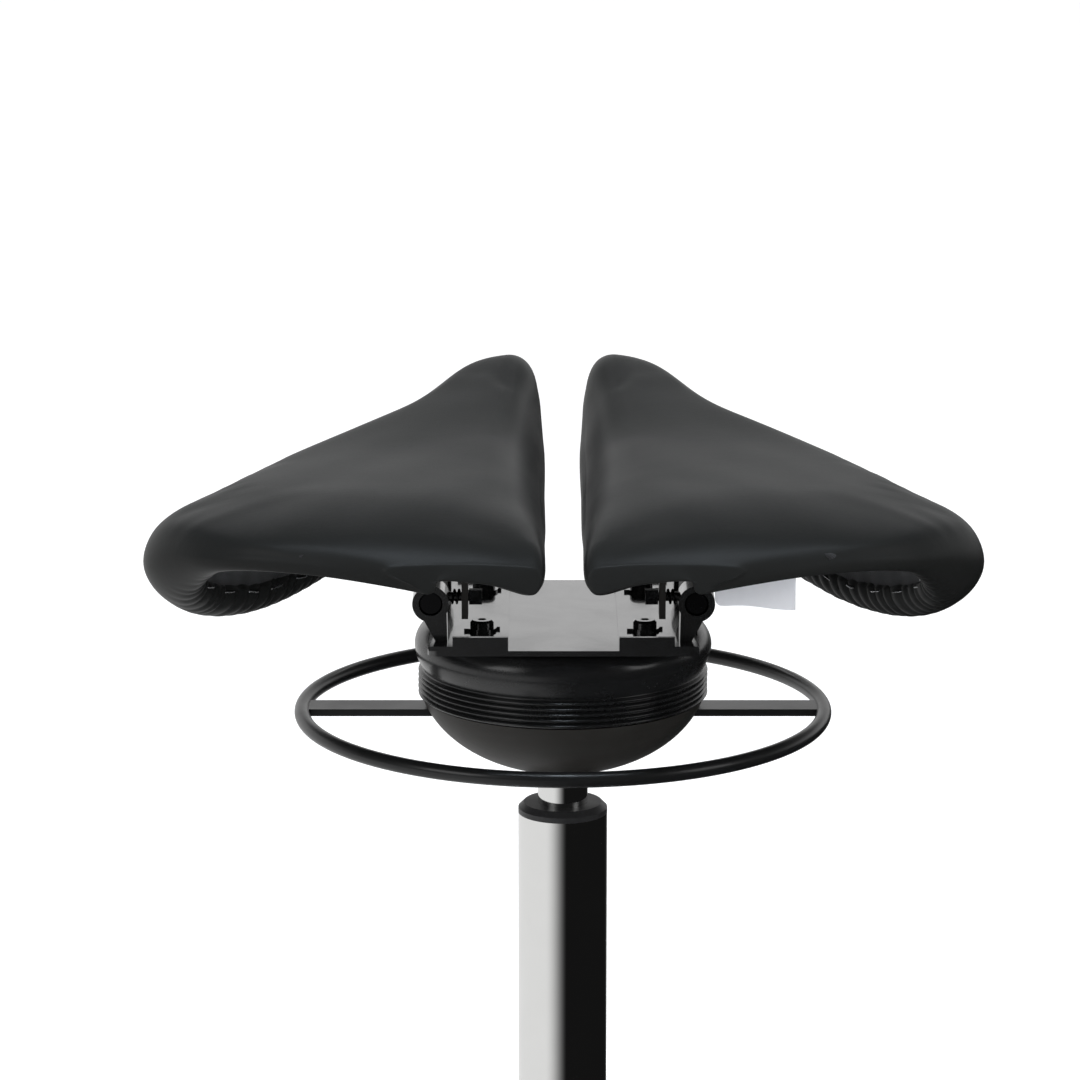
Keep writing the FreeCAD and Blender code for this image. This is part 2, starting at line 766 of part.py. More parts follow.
def swing_bowl():
    """Spun steel bowl, with a slot each side for the handle's bar and a hole for the column."""
    def ellipsoid(name, half_height, radius):
        solid = DOCUMENT.addObject("Part::Ellipsoid", name)
        bind(solid, "Radius1", half_height)
        bind(solid, "Radius2", radius)
        bind(solid, "Radius3", radius)
        place(solid, 0, 0, BOWL_CENTRE)
        return solid

    def box(name, x_low, y_low, z_low, length, width, height):
        solid = DOCUMENT.addObject("Part::Box", name)
        bind(solid, "Length", length)
        bind(solid, "Width", width)
        bind(solid, "Height", height)
        place(solid, x_low, y_low, z_low)
        return solid

    def cut(name, base, tool):
        result = DOCUMENT.addObject("Part::Cut", name)
        result.Base = base
        result.Tool = tool
        return result

    outer = ellipsoid("bowl_outside", S.bowl_half_height, S.bowl_radius)
    inner = ellipsoid("bowl_inside", BOWL_INNER_HALF, BOWL_INNER_RADIUS)
    block = S.bowl_radius * 2 + 20
    above = box("bowl_above_rim", -block / 2, -block / 2, RIM_Z, block, block, S.bowl_half_height * 2)
    below = box("bowl_below_flat", -block / 2, -block / 2, BOWL_LOW - 50, block, block, as_size(50))
    column_hole = DOCUMENT.addObject("Part::Cylinder", "bowl_column_hole")
    bind(column_hole, "Radius", S.lift_radius + 0.5)
    bind(column_hole, "Height", 20 + S.bowl_wall)
    place(column_hole, 0, 0, BOWL_LOW - 10)
    play = S.bar_width / 2 + 2
    slot_low = BAR_LOW - S.bar_press * 2 - 1
    slot = box("bowl_bar_slot", -block / 2, -play, slot_low, block, play * 2,
               BAR_TOP + S.seating_gap - slot_low)
    bowl = cut("bowl_cavity", outer, inner)
    bowl = cut("bowl_open", bowl, above)
    bowl = cut("bowl_flat", bowl, below)
    bowl = cut("bowl_bored", bowl, column_hole)
    bowl = cut("swing_bowl", bowl, slot)
    bowl.Label = "swing_bowl"
    return bowl


def bowl_inner_radius(height):
    """Radius of the bowl's inside at a height."""
    share = (BOWL_CENTRE - height) / BOWL_INNER_HALF
    return BOWL_INNER_RADIUS * root_of(1 - share * share)


SHELF_TOP = RIM_Z
SHELF_LOW = SHELF_TOP - S.shelf_thickness


def buffer_shelf():
    """Ring welded inside the bowl's rim, which the four rubber buffers stand on."""
    outer = bowl_inner_radius(SHELF_LOW).value - S.running_clearance.value
    inner = S.buffer_circle_radius.value - S.buffer_radius.value - 2
    ring = Part.makeCylinder(outer, S.shelf_thickness.value, V(0, 0, SHELF_LOW.value))
    ring = ring.cut(Part.makeCylinder(inner, S.shelf_thickness.value, V(0, 0, SHELF_LOW.value)))
    return shape_part("buffer_shelf", ring)


def rubber_buffers():
    """Four waisted rubber springs between the shelf and the carrier."""
    low = SHELF_TOP.value
    top = (CARRIER_LOW - S.seating_gap).value
    middle = (low + top) / 2
    radius = S.buffer_radius.value
    waist = radius * 0.8
    circle = S.buffer_circle_radius.value
    outline = Part.Wire([
        Part.LineSegment(V(0, 0, low), V(radius, 0, low)).toShape(),
        Part.Arc(V(radius, 0, low), V(waist, 0, middle), V(radius, 0, top)).toShape(),
        Part.LineSegment(V(radius, 0, top), V(0, 0, top)).toShape(),
        Part.LineSegment(V(0, 0, top), V(0, 0, low)).toShape(),
    ])
    master = Part.Face(outline).revolve(V(), Z_AXIS, 360)
    buffers = []
    for angle in (0, 90, 180, 270):
        turn = math.radians(angle + 45)
        copy = master.copy()
        copy.translate(V(math.cos(turn), math.sin(turn), 0) * circle)
        buffers.append(copy)
    return shape_part("rubber_buffers", Part.makeCompound(buffers))


def gimbal_ring():
    """Ring round the hub that tips fore and aft on the hub, and carries the seat's sideways tilt."""
    body = new_body("gimbal_ring")
    low = PIVOT_Z - S.gimbal_height / 2
    revolve(body, "ring", rectangle(S.gimbal_inner, low, S.gimbal_outer, low + S.gimbal_height))
    across = new_sketch(body, "side_pin_holes", "YZ_Plane")
    add_circle(across, 0, PIVOT_Z, S.gimbal_pin_radius)
    through_pocket(body, "side_holes", across)
    along = new_sketch(body, "front_pin_holes", "XZ_Plane")
    add_circle(along, 0, PIVOT_Z, S.gimbal_pin_radius)
    body.Tip = through_pocket(body, "front_holes", along)
    place(body)
    return body


LEG_INNER = S.gimbal_outer + S.leg_gap
LEG_OUTER = LEG_INNER + S.leg_thickness


def gimbal_pins():
    """Two pins from the ring into the hub, and two from the ring into the carrier's legs."""
    radius = S.gimbal_pin_radius.value
    pivot = PIVOT_Z.value
    pins = []
    bore_edge = S.lift_radius.value + 1
    for sign in (-1, 1):
        start = V(sign * bore_edge, 0, pivot)
        pins.append(Part.makeCylinder(radius, S.gimbal_outer.value - bore_edge, start, X_AXIS * sign))
        start = V(0, sign * S.gimbal_inner.value, pivot)
        length = (LEG_OUTER - S.gimbal_inner).value
        pins.append(Part.makeCylinder(radius, length, start, Y_AXIS * sign))
    return shape_part("gimbal_pins", Part.makeCompound(pins))


def swing_carrier():
    """Disc with two legs down to the gimbal and four bosses up to the seat plate."""
    body = new_body("swing_carrier")
    disc = new_sketch(body, "disc_outline", "XY_Plane", CARRIER_LOW)
    add_circle(disc, 0, 0, S.carrier_radius)
    pad(body, "disc", disc, S.carrier_thickness)
    legs = new_sketch(body, "leg_outline", "XZ_Plane", -LEG_OUTER)
    half = S.leg_width / 2
    add_outline(legs, [
        (-half, PIVOT_Z), (half, PIVOT_Z), (half, CARRIER_LOW + 1), (-half, CARRIER_LOW + 1),
    ], {0: (half * 1.1, True)})
    leg = pad(body, "leg", legs, S.leg_thickness)
    DOCUMENT.recompute()
    mirrored(body, "legs", [leg], "XZ_Plane")
    bosses = new_sketch(body, "boss_outlines", "XY_Plane", CARRIER_TOP - 1)
    for x_sign in (-1, 1):
        for y_sign in (-1, 1):
            add_circle(bosses, S.bolt_spacing_wide / 2 * x_sign, S.bolt_spacing_deep / 2 * y_sign, S.bolt_radius + 4)
    pad(body, "bosses", bosses, BOSS_TOP - CARRIER_TOP + 1)
    pin_holes = new_sketch(body, "leg_hole_outline")
    add_circle(pin_holes, 0, PIVOT_Z, S.gimbal_pin_radius + S.running_clearance)
    through_pocket(body, "leg_holes", pin_holes)
    threads = new_sketch(body, "thread_outlines", "XY_Plane", BOSS_TOP)
    for x_sign in (-1, 1):
        for y_sign in (-1, 1):
            add_circle(threads, S.bolt_spacing_wide / 2 * x_sign, S.bolt_spacing_deep / 2 * y_sign, S.bolt_radius)
    body.Tip = pocket(body, "threads", threads, BOSS_TOP - CARRIER_LOW + 1)
    place(body)
    return body


def bellows():
    """Moulded rubber cover: a smooth shoulder under the plate and round ribs down into the bowl's rim."""
    body = new_body("bellows")
    wall = S.bellows_wall
    top = BELLOWS_TOP
    round_low = top - S.shoulder_round * 2
    outer = S.bellows_radius
    foot = RIM_Z + S.seating_gap
    ribs = int((round_low - foot).value / S.rib_pitch.value + 0.5)
    pitch = (round_low - foot) / ribs
    points = [
        (S.bolt_spacing_wide / 2 - 18, top),
        (S.shoulder_radius - S.shoulder_round, top),
        (S.shoulder_radius, top - S.shoulder_round),
        (outer - S.rib_depth / 2, round_low),
    ]
    arcs = {1: (S.shoulder_round, False), 2: (S.shoulder_round * 1.05, False)}
    for rib in range(ribs):
        arcs[len(points) - 1] = (pitch * 0.62, False)
        points.append((outer - S.rib_depth / 2, round_low - pitch * (rib + 1)))
    arcs_end = len(points) - 1
    points.append((outer - S.rib_depth / 2 - wall, round_low - pitch * ribs))
    inner_count = ribs
    for rib in range(inner_count):
        arcs[len(points) - 1] = (pitch * 0.62, True)
        points.append((outer - S.rib_depth / 2 - wall, round_low - pitch * (ribs - 1 - rib)))
    arcs[len(points) - 1] = (S.shoulder_round * 1.05 - wall, True)
    points.append((S.shoulder_radius - wall, top - S.shoulder_round))
    arcs[len(points) - 1] = (S.shoulder_round - wall, True)
    points.append((S.shoulder_radius - S.shoulder_round, top - wall))
    points.append((S.bolt_spacing_wide / 2 - 18, top - wall))
    arcs.pop(arcs_end, None)
    revolve(body, "bellows_wall", points, arcs)
    holes = new_sketch(body, "bolt_hole_outlines", "XY_Plane", top)
    for x_sign in (-1, 1):
        for y_sign in (-1, 1):
            add_circle(holes, S.bolt_spacing_wide / 2 * x_sign, S.bolt_spacing_deep / 2 * y_sign, S.bolt_radius)
    body.Tip = pocket(body, "bolt_holes", holes, wall)
    place(body)
    return body


# Height-adjustment handle

def handle_ring():
    """Round ring that the sitter pulls up or pushes down to release the column."""
    ring = DOCUMENT.addObject("Part::Torus", "handle_ring")
    ring.Label = "handle_ring"
    bind(ring, "Radius1", S.handle_radius - S.handle_wire / 2)
    bind(ring, "Radius2", S.handle_wire / 2)
    place(ring, 0, 0, HANDLE_Z)
    return ring


def handle_bar(ring):
    """Flat bar welded across the ring. It rocks in the bowl's slots and presses the valve pin."""
    bar = DOCUMENT.addObject("Part::Box", "bar_blank")
    reach = S.handle_radius - S.handle_wire / 2
    bind(bar, "Length", reach * 2)
    bind(bar, "Width", S.bar_width)
    bind(bar, "Height", S.bar_thickness)
    place(bar, -reach, -S.bar_width / 2, BAR_LOW)
    tool = DOCUMENT.addObject("Part::Torus", "bar_end_tool")
    bind(tool, "Radius1", S.handle_radius - S.handle_wire / 2)
    bind(tool, "Radius2", S.handle_wire / 2)
    place(tool, 0, 0, HANDLE_Z)
    fitted = DOCUMENT.addObject("Part::Cut", "handle_bar")
    fitted.Base = bar
    fitted.Tool = tool
    fitted.Label = "handle_bar"
    return fitted


# Seat plate, brackets and hinges

def seat_plate():
    """Pressed steel plate on top of the bellows."""
    body = new_body("seat_plate")
    half_width = S.plate_width / 2
    half_depth = S.plate_depth / 2
    corner = 5
    outline = new_sketch(body, "plate_outline", "XY_Plane", PLATE_LOW)
    add_outline(outline, [
        (-half_width + corner, -half_depth), (half_width - corner, -half_depth),
        (half_width, -half_depth + corner), (half_width, half_depth - corner),
        (half_width - corner, half_depth), (-half_width + corner, half_depth),
        (-half_width, half_depth - corner), (-half_width, -half_depth + corner),
    ], {1: (corner, True), 3: (corner, True), 5: (corner, True), 7: (corner, True)})
    for x_sign in (-1, 1):
        for y_sign in (-1, 1):
            add_circle(outline, S.bolt_spacing_wide / 2 * x_sign, S.bolt_spacing_deep / 2 * y_sign, S.bolt_radius)
    pad(body, "plate", outline, S.plate_thickness)
    place(body)
    return body


def side_bracket(side, sign):
    """Foot on the seat plate, turned-up lips at its ends, and two posts for the hinge pin."""
    body = new_body("side_bracket_%s" % side)
    half_depth = S.plate_depth / 2

    def across(low, high):
        return (low, high) if sign > 0 else (-high, -low)

    foot_low, foot_high = across(S.foot_inner, S.foot_outer)
    foot = new_sketch(body, "foot_outline", "XY_Plane", PLATE_TOP)
    add_outline(foot, rectangle(foot_low, -half_depth, foot_high, half_depth))
    for y_sign in (-1, 1):
        add_circle(foot, S.bolt_spacing_wide / 2 * sign, S.bolt_spacing_deep / 2 * y_sign, S.bolt_radius)
    pad(body, "foot", foot, S.foot_thickness)
    lip_low, lip_high = across(S.foot_inner, S.lip_outer)
    lip_sketch = new_sketch(body, "lip_outline", "XY_Plane", FOOT_TOP - 1)
    add_outline(lip_sketch, rectangle(lip_low, -half_depth, lip_high, -half_depth + S.foot_thickness))
    lip = pad(body, "lip", lip_sketch, S.lip_height - S.foot_thickness + 1)
    hinge_x = S.hinge_offset * sign
    root = S.hinge_offset - 9
    root_low, root_high = across(root, root + S.post_foot_width)
    top_low, top_high = across(S.hinge_offset - S.hinge_boss_radius + 1.5, S.hinge_offset + S.hinge_boss_radius - 1.5)
    post_sketch = new_sketch(body, "post_outline", "XZ_Plane", S.post_outer_end - S.post_length)
    add_outline(post_sketch, [
        (root_low, FOOT_TOP - 1), (root_high, FOOT_TOP - 1), (top_high, HINGE_Z), (top_low, HINGE_Z),
    ])
    post = pad(body, "post", post_sketch, S.post_length)
    boss_sketch = new_sketch(body, "post_boss_outline", "XZ_Plane", S.post_outer_end - S.post_length)
    add_circle(boss_sketch, hinge_x, HINGE_Z, S.hinge_boss_radius)
    boss = pad(body, "post_boss", boss_sketch, S.post_length)
    DOCUMENT.recompute()
    mirrored(body, "far_end", [lip, post, boss], "XZ_Plane")
    recess_sketch = new_sketch(body, "pin_recess_outline", "XZ_Plane", S.post_outer_end - S.pin_recess)
    add_circle(recess_sketch, hinge_x, HINGE_Z, S.pin_head_radius)
    recess = pocket(body, "pin_recess", recess_sketch, S.pin_recess, backwards=True)
    DOCUMENT.recompute()
    mirrored(body, "far_recess", [recess], "XZ_Plane")
    pin_sketch = new_sketch(body, "pin_hole_outline", "XZ_Plane")
    add_circle(pin_sketch, hinge_x, HINGE_Z, S.hinge_pin_radius)
    through_pocket(body, "pin_hole", pin_sketch)
    limit_sketch = new_sketch(body, "limit_thread_outline", "YZ_Plane", limit_bolt_tip() * sign)
    add_circle(limit_sketch, -limit_bolt_y(), HINGE_Z + S.limit_bolt_rise, S.limit_bolt_radius)
    body.Tip = pocket(body, "limit_thread", limit_sketch, as_size(14), backwards=sign < 0)
    place(body)
    return body


def limit_bolt_y():
    return S.post_outer_end - S.post_length / 2


def limit_bolt_tip():
    """How far out from the middle the limit bolt reaches into its post, short of the hinge pin."""
    return S.hinge_offset - S.hinge_pin_radius - 1


def plate_bolts():
    """Four socket-head bolts with tabbed washers, down through the foot, plate and bellows."""
    radius = S.bolt_radius.value
    head_radius = S.bolt_head_radius.value
    washer_low = FOOT_TOP.value
    head_low = washer_low + S.washer_thickness.value
    head = S.bolt_head_height.value
    socket = 2.6
    parts = []
    for x_sign in (-1, 1):
        for y_sign in (-1, 1):
            spot = V(S.bolt_spacing_wide.value / 2 * x_sign, S.bolt_spacing_deep.value / 2 * y_sign, 0)
            end = CARRIER_LOW.value
            shank = Part.makeCylinder(radius, head_low - end, spot + V(0, 0, end))
            cap = Part.makeCylinder(head_radius, head, spot + V(0, 0, head_low))
            cap = cap.makeChamfer(1.2, [cap.Edges[0]])
            corners = [spot + V(socket * math.cos(a), socket * math.sin(a), head_low + head - 2.5)
                       for a in [math.radians(60 * k) for k in range(7)]]
            hexagon = Part.Face(Part.makePolygon(corners)).extrude(V(0, 0, 5))
            parts.append(shank.fuse(cap).cut(hexagon).removeSplitter())
            washer = Part.makeCylinder(S.washer_radius.value, S.washer_thickness.value, spot + V(0, 0, washer_low))
            tab_size = V(4, 3, S.washer_thickness.value)
            for tab_sign in (-1, 1):
                low_corner = spot + V(tab_sign * (S.washer_radius.value - 0.2) - 2, tab_sign * 2.2 - 1.5, washer_low)
                washer = washer.fuse(Part.makeBox(tab_size.x, tab_size.y, tab_size.z, low_corner))
            parts.append(washer.cut(shank).removeSplitter())
    return shape_part("plate_bolts", Part.makeCompound(parts))


def hinge_pins():
    """One long pin each side, with a riveted head in the recess at both ends."""
    pins = []
    end = (S.post_outer_end - S.pin_recess).value
    head = S.pin_head_height.value
    for _, sign in SIDES:
        start = V(S.hinge_offset.value * sign, -end, HINGE_Z.value)
        pin = Part.makeCylinder(S.hinge_pin_radius.value, end * 2, start, Y_AXIS)
        for low in (-end - head, end):
            rivet = Part.makeCylinder(S.pin_head_radius.value, head, V(start.x, low, start.z), Y_AXIS)
            pin = pin.fuse(rivet.makeChamfer(head * 0.4, [rivet.Edges[0 if low > 0 else 2]]))
        pins.append(pin.removeSplitter())
    return shape_part("hinge_pins", Part.makeCompound(pins))


EAR_OUTER = S.hinge_offset - S.hinge_boss_radius - S.limit_spring_gap
EAR_INNER = EAR_OUTER - S.ear_thickness


def limit_bolts():
    """Two small bolts that pass through the ears and stop the seat halves' tilt."""
    bolts = []
    for _, sign in SIDES:
        z = (HINGE_Z + S.limit_bolt_rise).value
        y = -limit_bolt_y().value
        head_length = 7.0
        head_end = (EAR_INNER - S.limit_nut_gap).value
        start = V(sign * head_end, y, z)
        shank = Part.makeCylinder(S.limit_bolt_radius.value, limit_bolt_tip().value - head_end, start, X_AXIS * sign)
        across = 4.6
        corners = [V(sign * (head_end - head_length), y + across * math.cos(a), z + across * math.sin(a))
                   for a in [math.radians(60 * k) for k in range(7)]]
        nut = Part.Face(Part.makePolygon(corners)).extrude(V(sign * head_length, 0, 0))
        bolts.append(shank.fuse(nut).removeSplitter())
    return shape_part("limit_bolts", Part.makeCompound(bolts))


def coil(radius, pitch, turns, wire):
    """Open coil round the X axis, one unbroken tube swept along quarter-turn arcs."""
    quarters = int(turns * 4)

    def point(quarter):
        turn = quarter * math.pi / 2
        return V(pitch * quarter / 4, radius * math.cos(turn), radius * math.sin(turn))

    path = Part.Wire([Part.Arc(point(k), point(k + 0.5), point(k + 1)).toShape() for k in range(quarters)])
    heading = path.Edges[0].tangentAt(path.Edges[0].FirstParameter)
    section = Part.Wire(Part.makeCircle(wire / 2, point(0), heading))
    return path.makePipeShell([section], True, False)


def limit_springs():
    """Short coil springs round the limit bolts, between the ears and the posts."""
    wire = S.limit_spring_wire.value
    radius = S.limit_bolt_radius.value + wire / 2 + 0.6
    room = S.limit_spring_gap.value - wire - 2 * S.seating_gap.value
    turns = 2
    pitch = room / turns
    print("limit spring: least gap between its turns %.2f mm" % (pitch - wire))
    springs = []
    for _, sign in SIDES:
        spring = coil(radius, pitch, turns, wire)
        start = EAR_OUTER.value + S.seating_gap.value + wire / 2
        spring.translate(V(start, 0, 0))
        if sign < 0:
            spring = spring.mirror(V(), X_AXIS)
        spring.translate(V(0, -limit_bolt_y().value, (HINGE_Z + S.limit_bolt_rise).value))
        springs.append(spring)
    return shape_part("limit_springs", Part.makeCompound(springs))


def arm_plate_corners(sign):
    """Outline of the arm's plate, whose outer front corner is cut off where the seat half narrows."""
    half = S.arm_plate_depth / 2
    low, high = S.arm_plate_inner, S.arm_plate_outer
    corners = [(low, -half), (high, -half), (high, half - S.arm_corner_depth), (high - S.arm_corner_width, half), (low, half)]
    if sign < 0:
        return [(-x, y) for x, y in reversed(corners)]
    return corners


def hinge_arm(side, sign):
    """Flat plate under the seat shell, with a web, two hinge knuckles and the ear of the tilt stop."""
    body = new_body("hinge_arm_%s" % side)

    def across(low, high):
        return (low, high) if sign > 0 else (-high, -low)

    half = S.arm_plate_depth / 2
    plate = new_sketch(body, "arm_plate_outline", "XY_Plane", ARM_PLATE_LOW)
    add_outline(plate, arm_plate_corners(sign))
    for x, y in screw_spots(sign):
        add_circle(plate, x, y, SCREW_RADIUS)
    pad(body, "arm_plate", plate, S.arm_plate_thickness)
    flange_low = S.hinge_offset
    for end, flange_high in (("rear", S.arm_plate_outer), ("front", S.arm_plate_outer - S.arm_corner_width)):
        x_low, x_high = across(flange_low, flange_high)
        y_low = -half if end == "rear" else half - S.arm_plate_thickness
        flange = new_sketch(body, end + "_flange_outline", "XY_Plane", ARM_PLATE_LOW - S.arm_flange_drop)
        add_outline(flange, rectangle(x_low, y_low, x_high, y_low + S.arm_plate_thickness))
        pad(body, end + "_flange", flange, S.arm_flange_drop + 1)
    inner_end = S.post_outer_end - S.post_length - S.seating_gap
    web_low, web_high = across(S.hinge_offset - 2.5, S.hinge_offset + 2.5)
    web = new_sketch(body, "web_outline", "XZ_Plane", inner_end - S.knuckle_length)
    add_outline(web, rectangle(web_low, HINGE_Z + S.hinge_pin_radius + 1.5, web_high, ARM_PLATE_LOW + 1))
    web_pad = pad(body, "web", web, S.knuckle_length)
    barrel = new_sketch(body, "knuckle_outline", "XZ_Plane", inner_end - S.knuckle_length)
    add_circle(barrel, S.hinge_offset * sign, HINGE_Z, S.knuckle_radius)
    knuckle = pad(body, "knuckle", barrel, S.knuckle_length)
    DOCUMENT.recompute()
    mirrored(body, "far_knuckle", [web_pad, knuckle], "XZ_Plane")
    ear_low, ear_high = across(EAR_INNER, EAR_OUTER)
    ear = new_sketch(body, "ear_outline", "XY_Plane", HINGE_Z - S.ear_drop)
    add_outline(ear, rectangle(ear_low, -limit_bolt_y() - S.ear_width / 2, ear_high, -limit_bolt_y() + S.ear_width / 2))
    pad(body, "ear", ear, ARM_PLATE_LOW + 1 - HINGE_Z + S.ear_drop)
    bore = new_sketch(body, "pin_bore_outline", "XZ_Plane")
    add_circle(bore, S.hinge_offset * sign, HINGE_Z, S.hinge_pin_radius + S.running_clearance)
    through_pocket(body, "pin_bore", bore)
    play = new_sketch(body, "ear_hole_outline", "YZ_Plane", (EAR_OUTER + 1) * sign)
    add_circle(play, -limit_bolt_y(), HINGE_Z + S.limit_bolt_rise, S.limit_bolt_radius + S.limit_play)
    body.Tip = pocket(body, "ear_hole", play, S.ear_thickness + 2, backwards=sign < 0)
    place(body)
    return body


SCREW_RADIUS = 2.0


def screw_spots(sign):
    """Places of the four screws that hold a seat shell to its arm."""
    inset = 8.0
    half = S.arm_plate_depth / 2 - inset
    inner = S.arm_plate_inner + inset
    outer = S.arm_plate_outer - inset
    return [(inner * sign, -half), (inner * sign, half), (outer * sign, -half), ((outer - S.arm_corner_width) * sign, half)]


# Seat halves. A station is one cross-section of the right half across the seat at y:
# side is the inner side's x, outer and outer_z the outermost point, shoulder and fall the shoulder's
# radius and the top's slope there, top the top's height at the gap, low_in and low_out the underside's
# height at the gap and at the roll, roll_x, roll_z and roll the centre and radius of the rolled edge.
# Heights are above the handle. The stations are drawn for a seat 454 wide and 377 long, and are
# scaled to the sheet's sizes.
STATION_WIDTH = 454.0
STATION_LENGTH = 377.0
STATION_BASE = 106.0
STATION_COLUMNS = ("y", "side", "outer", "outer_z", "shoulder", "fall", "top", "low_in", "low_out",
                   "roll_x", "roll_z", "roll")
STATIONS = (
    (-170.0, 12.0, 76.0, 113.0, 6.0, 3.0, 118.0, 106.0, 111.0, 70.0, 110.0, 3.5),
    (-163.0, 8.5, 119.0, 120.0, 7.0, 4.0, 126.5, 103.0, 119.5, 111.0, 118.0, 4.0),
    (-148.0, 7.0, 169.0, 123.5, 9.0, 5.0, 132.5, 102.0, 123.5, 160.0, 122.0, 4.5),
    (-120.0, 7.0, 203.0, 117.0, 16.0, 9.0, 136.0, 103.0, 118.0, 190.0, 111.0, 7.0),
    (-85.0, 7.0, 225.5, 107.0, 24.0, 12.0, 137.5, 104.5, 108.0, 204.0, 94.0, 12.0),
    (-40.0, 7.0, 221.0, 103.0, 29.0, 12.0, 138.5, 104.5, 104.5, 189.0, 79.0, 16.0),
    (10.0, 7.0, 199.0, 104.0, 31.0, 11.0, 140.0, 104.5, 104.5, 158.0, 77.0, 16.0),
    (60.0, 7.0, 168.0, 108.0, 30.0, 10.0, 142.5, 104.5, 105.5, 127.0, 87.0, 15.0),
    (110.0, 7.0, 126.0, 121.0, 26.0, 8.0, 149.0, 109.0, 113.0, 98.0, 104.0, 12.0),
    (155.0, 7.5, 88.0, 137.0, 19.0, 6.0, 158.5, 121.0, 126.0, 70.0, 124.0, 9.0),
    (185.0, 11.0, 64.0, 150.0, 14.0, 5.0, 166.5, 138.0, 142.0, 51.0, 140.5, 7.0),
    (203.0, 18.0, 47.0, 154.0, 7.0, 3.0, 162.0, 147.0, 149.0, 40.5, 148.0, 4.0),
)
SIDE_ROUND = 15.0


def station_at(y):
    """The station's values by name at any y, between the rows of STATIONS."""
    rows = STATIONS
    values = rows[-1]
    for low, high in zip(rows, rows[1:]):
        if y <= high[0]:
            share = (y - low[0]) / (high[0] - low[0])
            values = [a + (b - a) * share for a, b in zip(low, high)]
            break
    station = dict(zip(STATION_COLUMNS, values))
    wide = S.seat_width.value / STATION_WIDTH
    for name in ("outer", "roll_x"):
        station[name] *= wide
    station["side"] += S.seat_gap.value / 2 - STATIONS[5][1]
    raised = S.seat_base_rise.value - STATION_BASE
    for name in ("outer_z", "top", "low_in", "low_out", "roll_z"):
        station[name] += raised
    return station


def on_circle(centre, radius, angle):
    """Point on a circle of the section, with the angle in degrees from +X towards +Z."""
    turn = math.radians(angle)
    return centre + V(math.cos(turn), math.sin(turn), 0) * radius


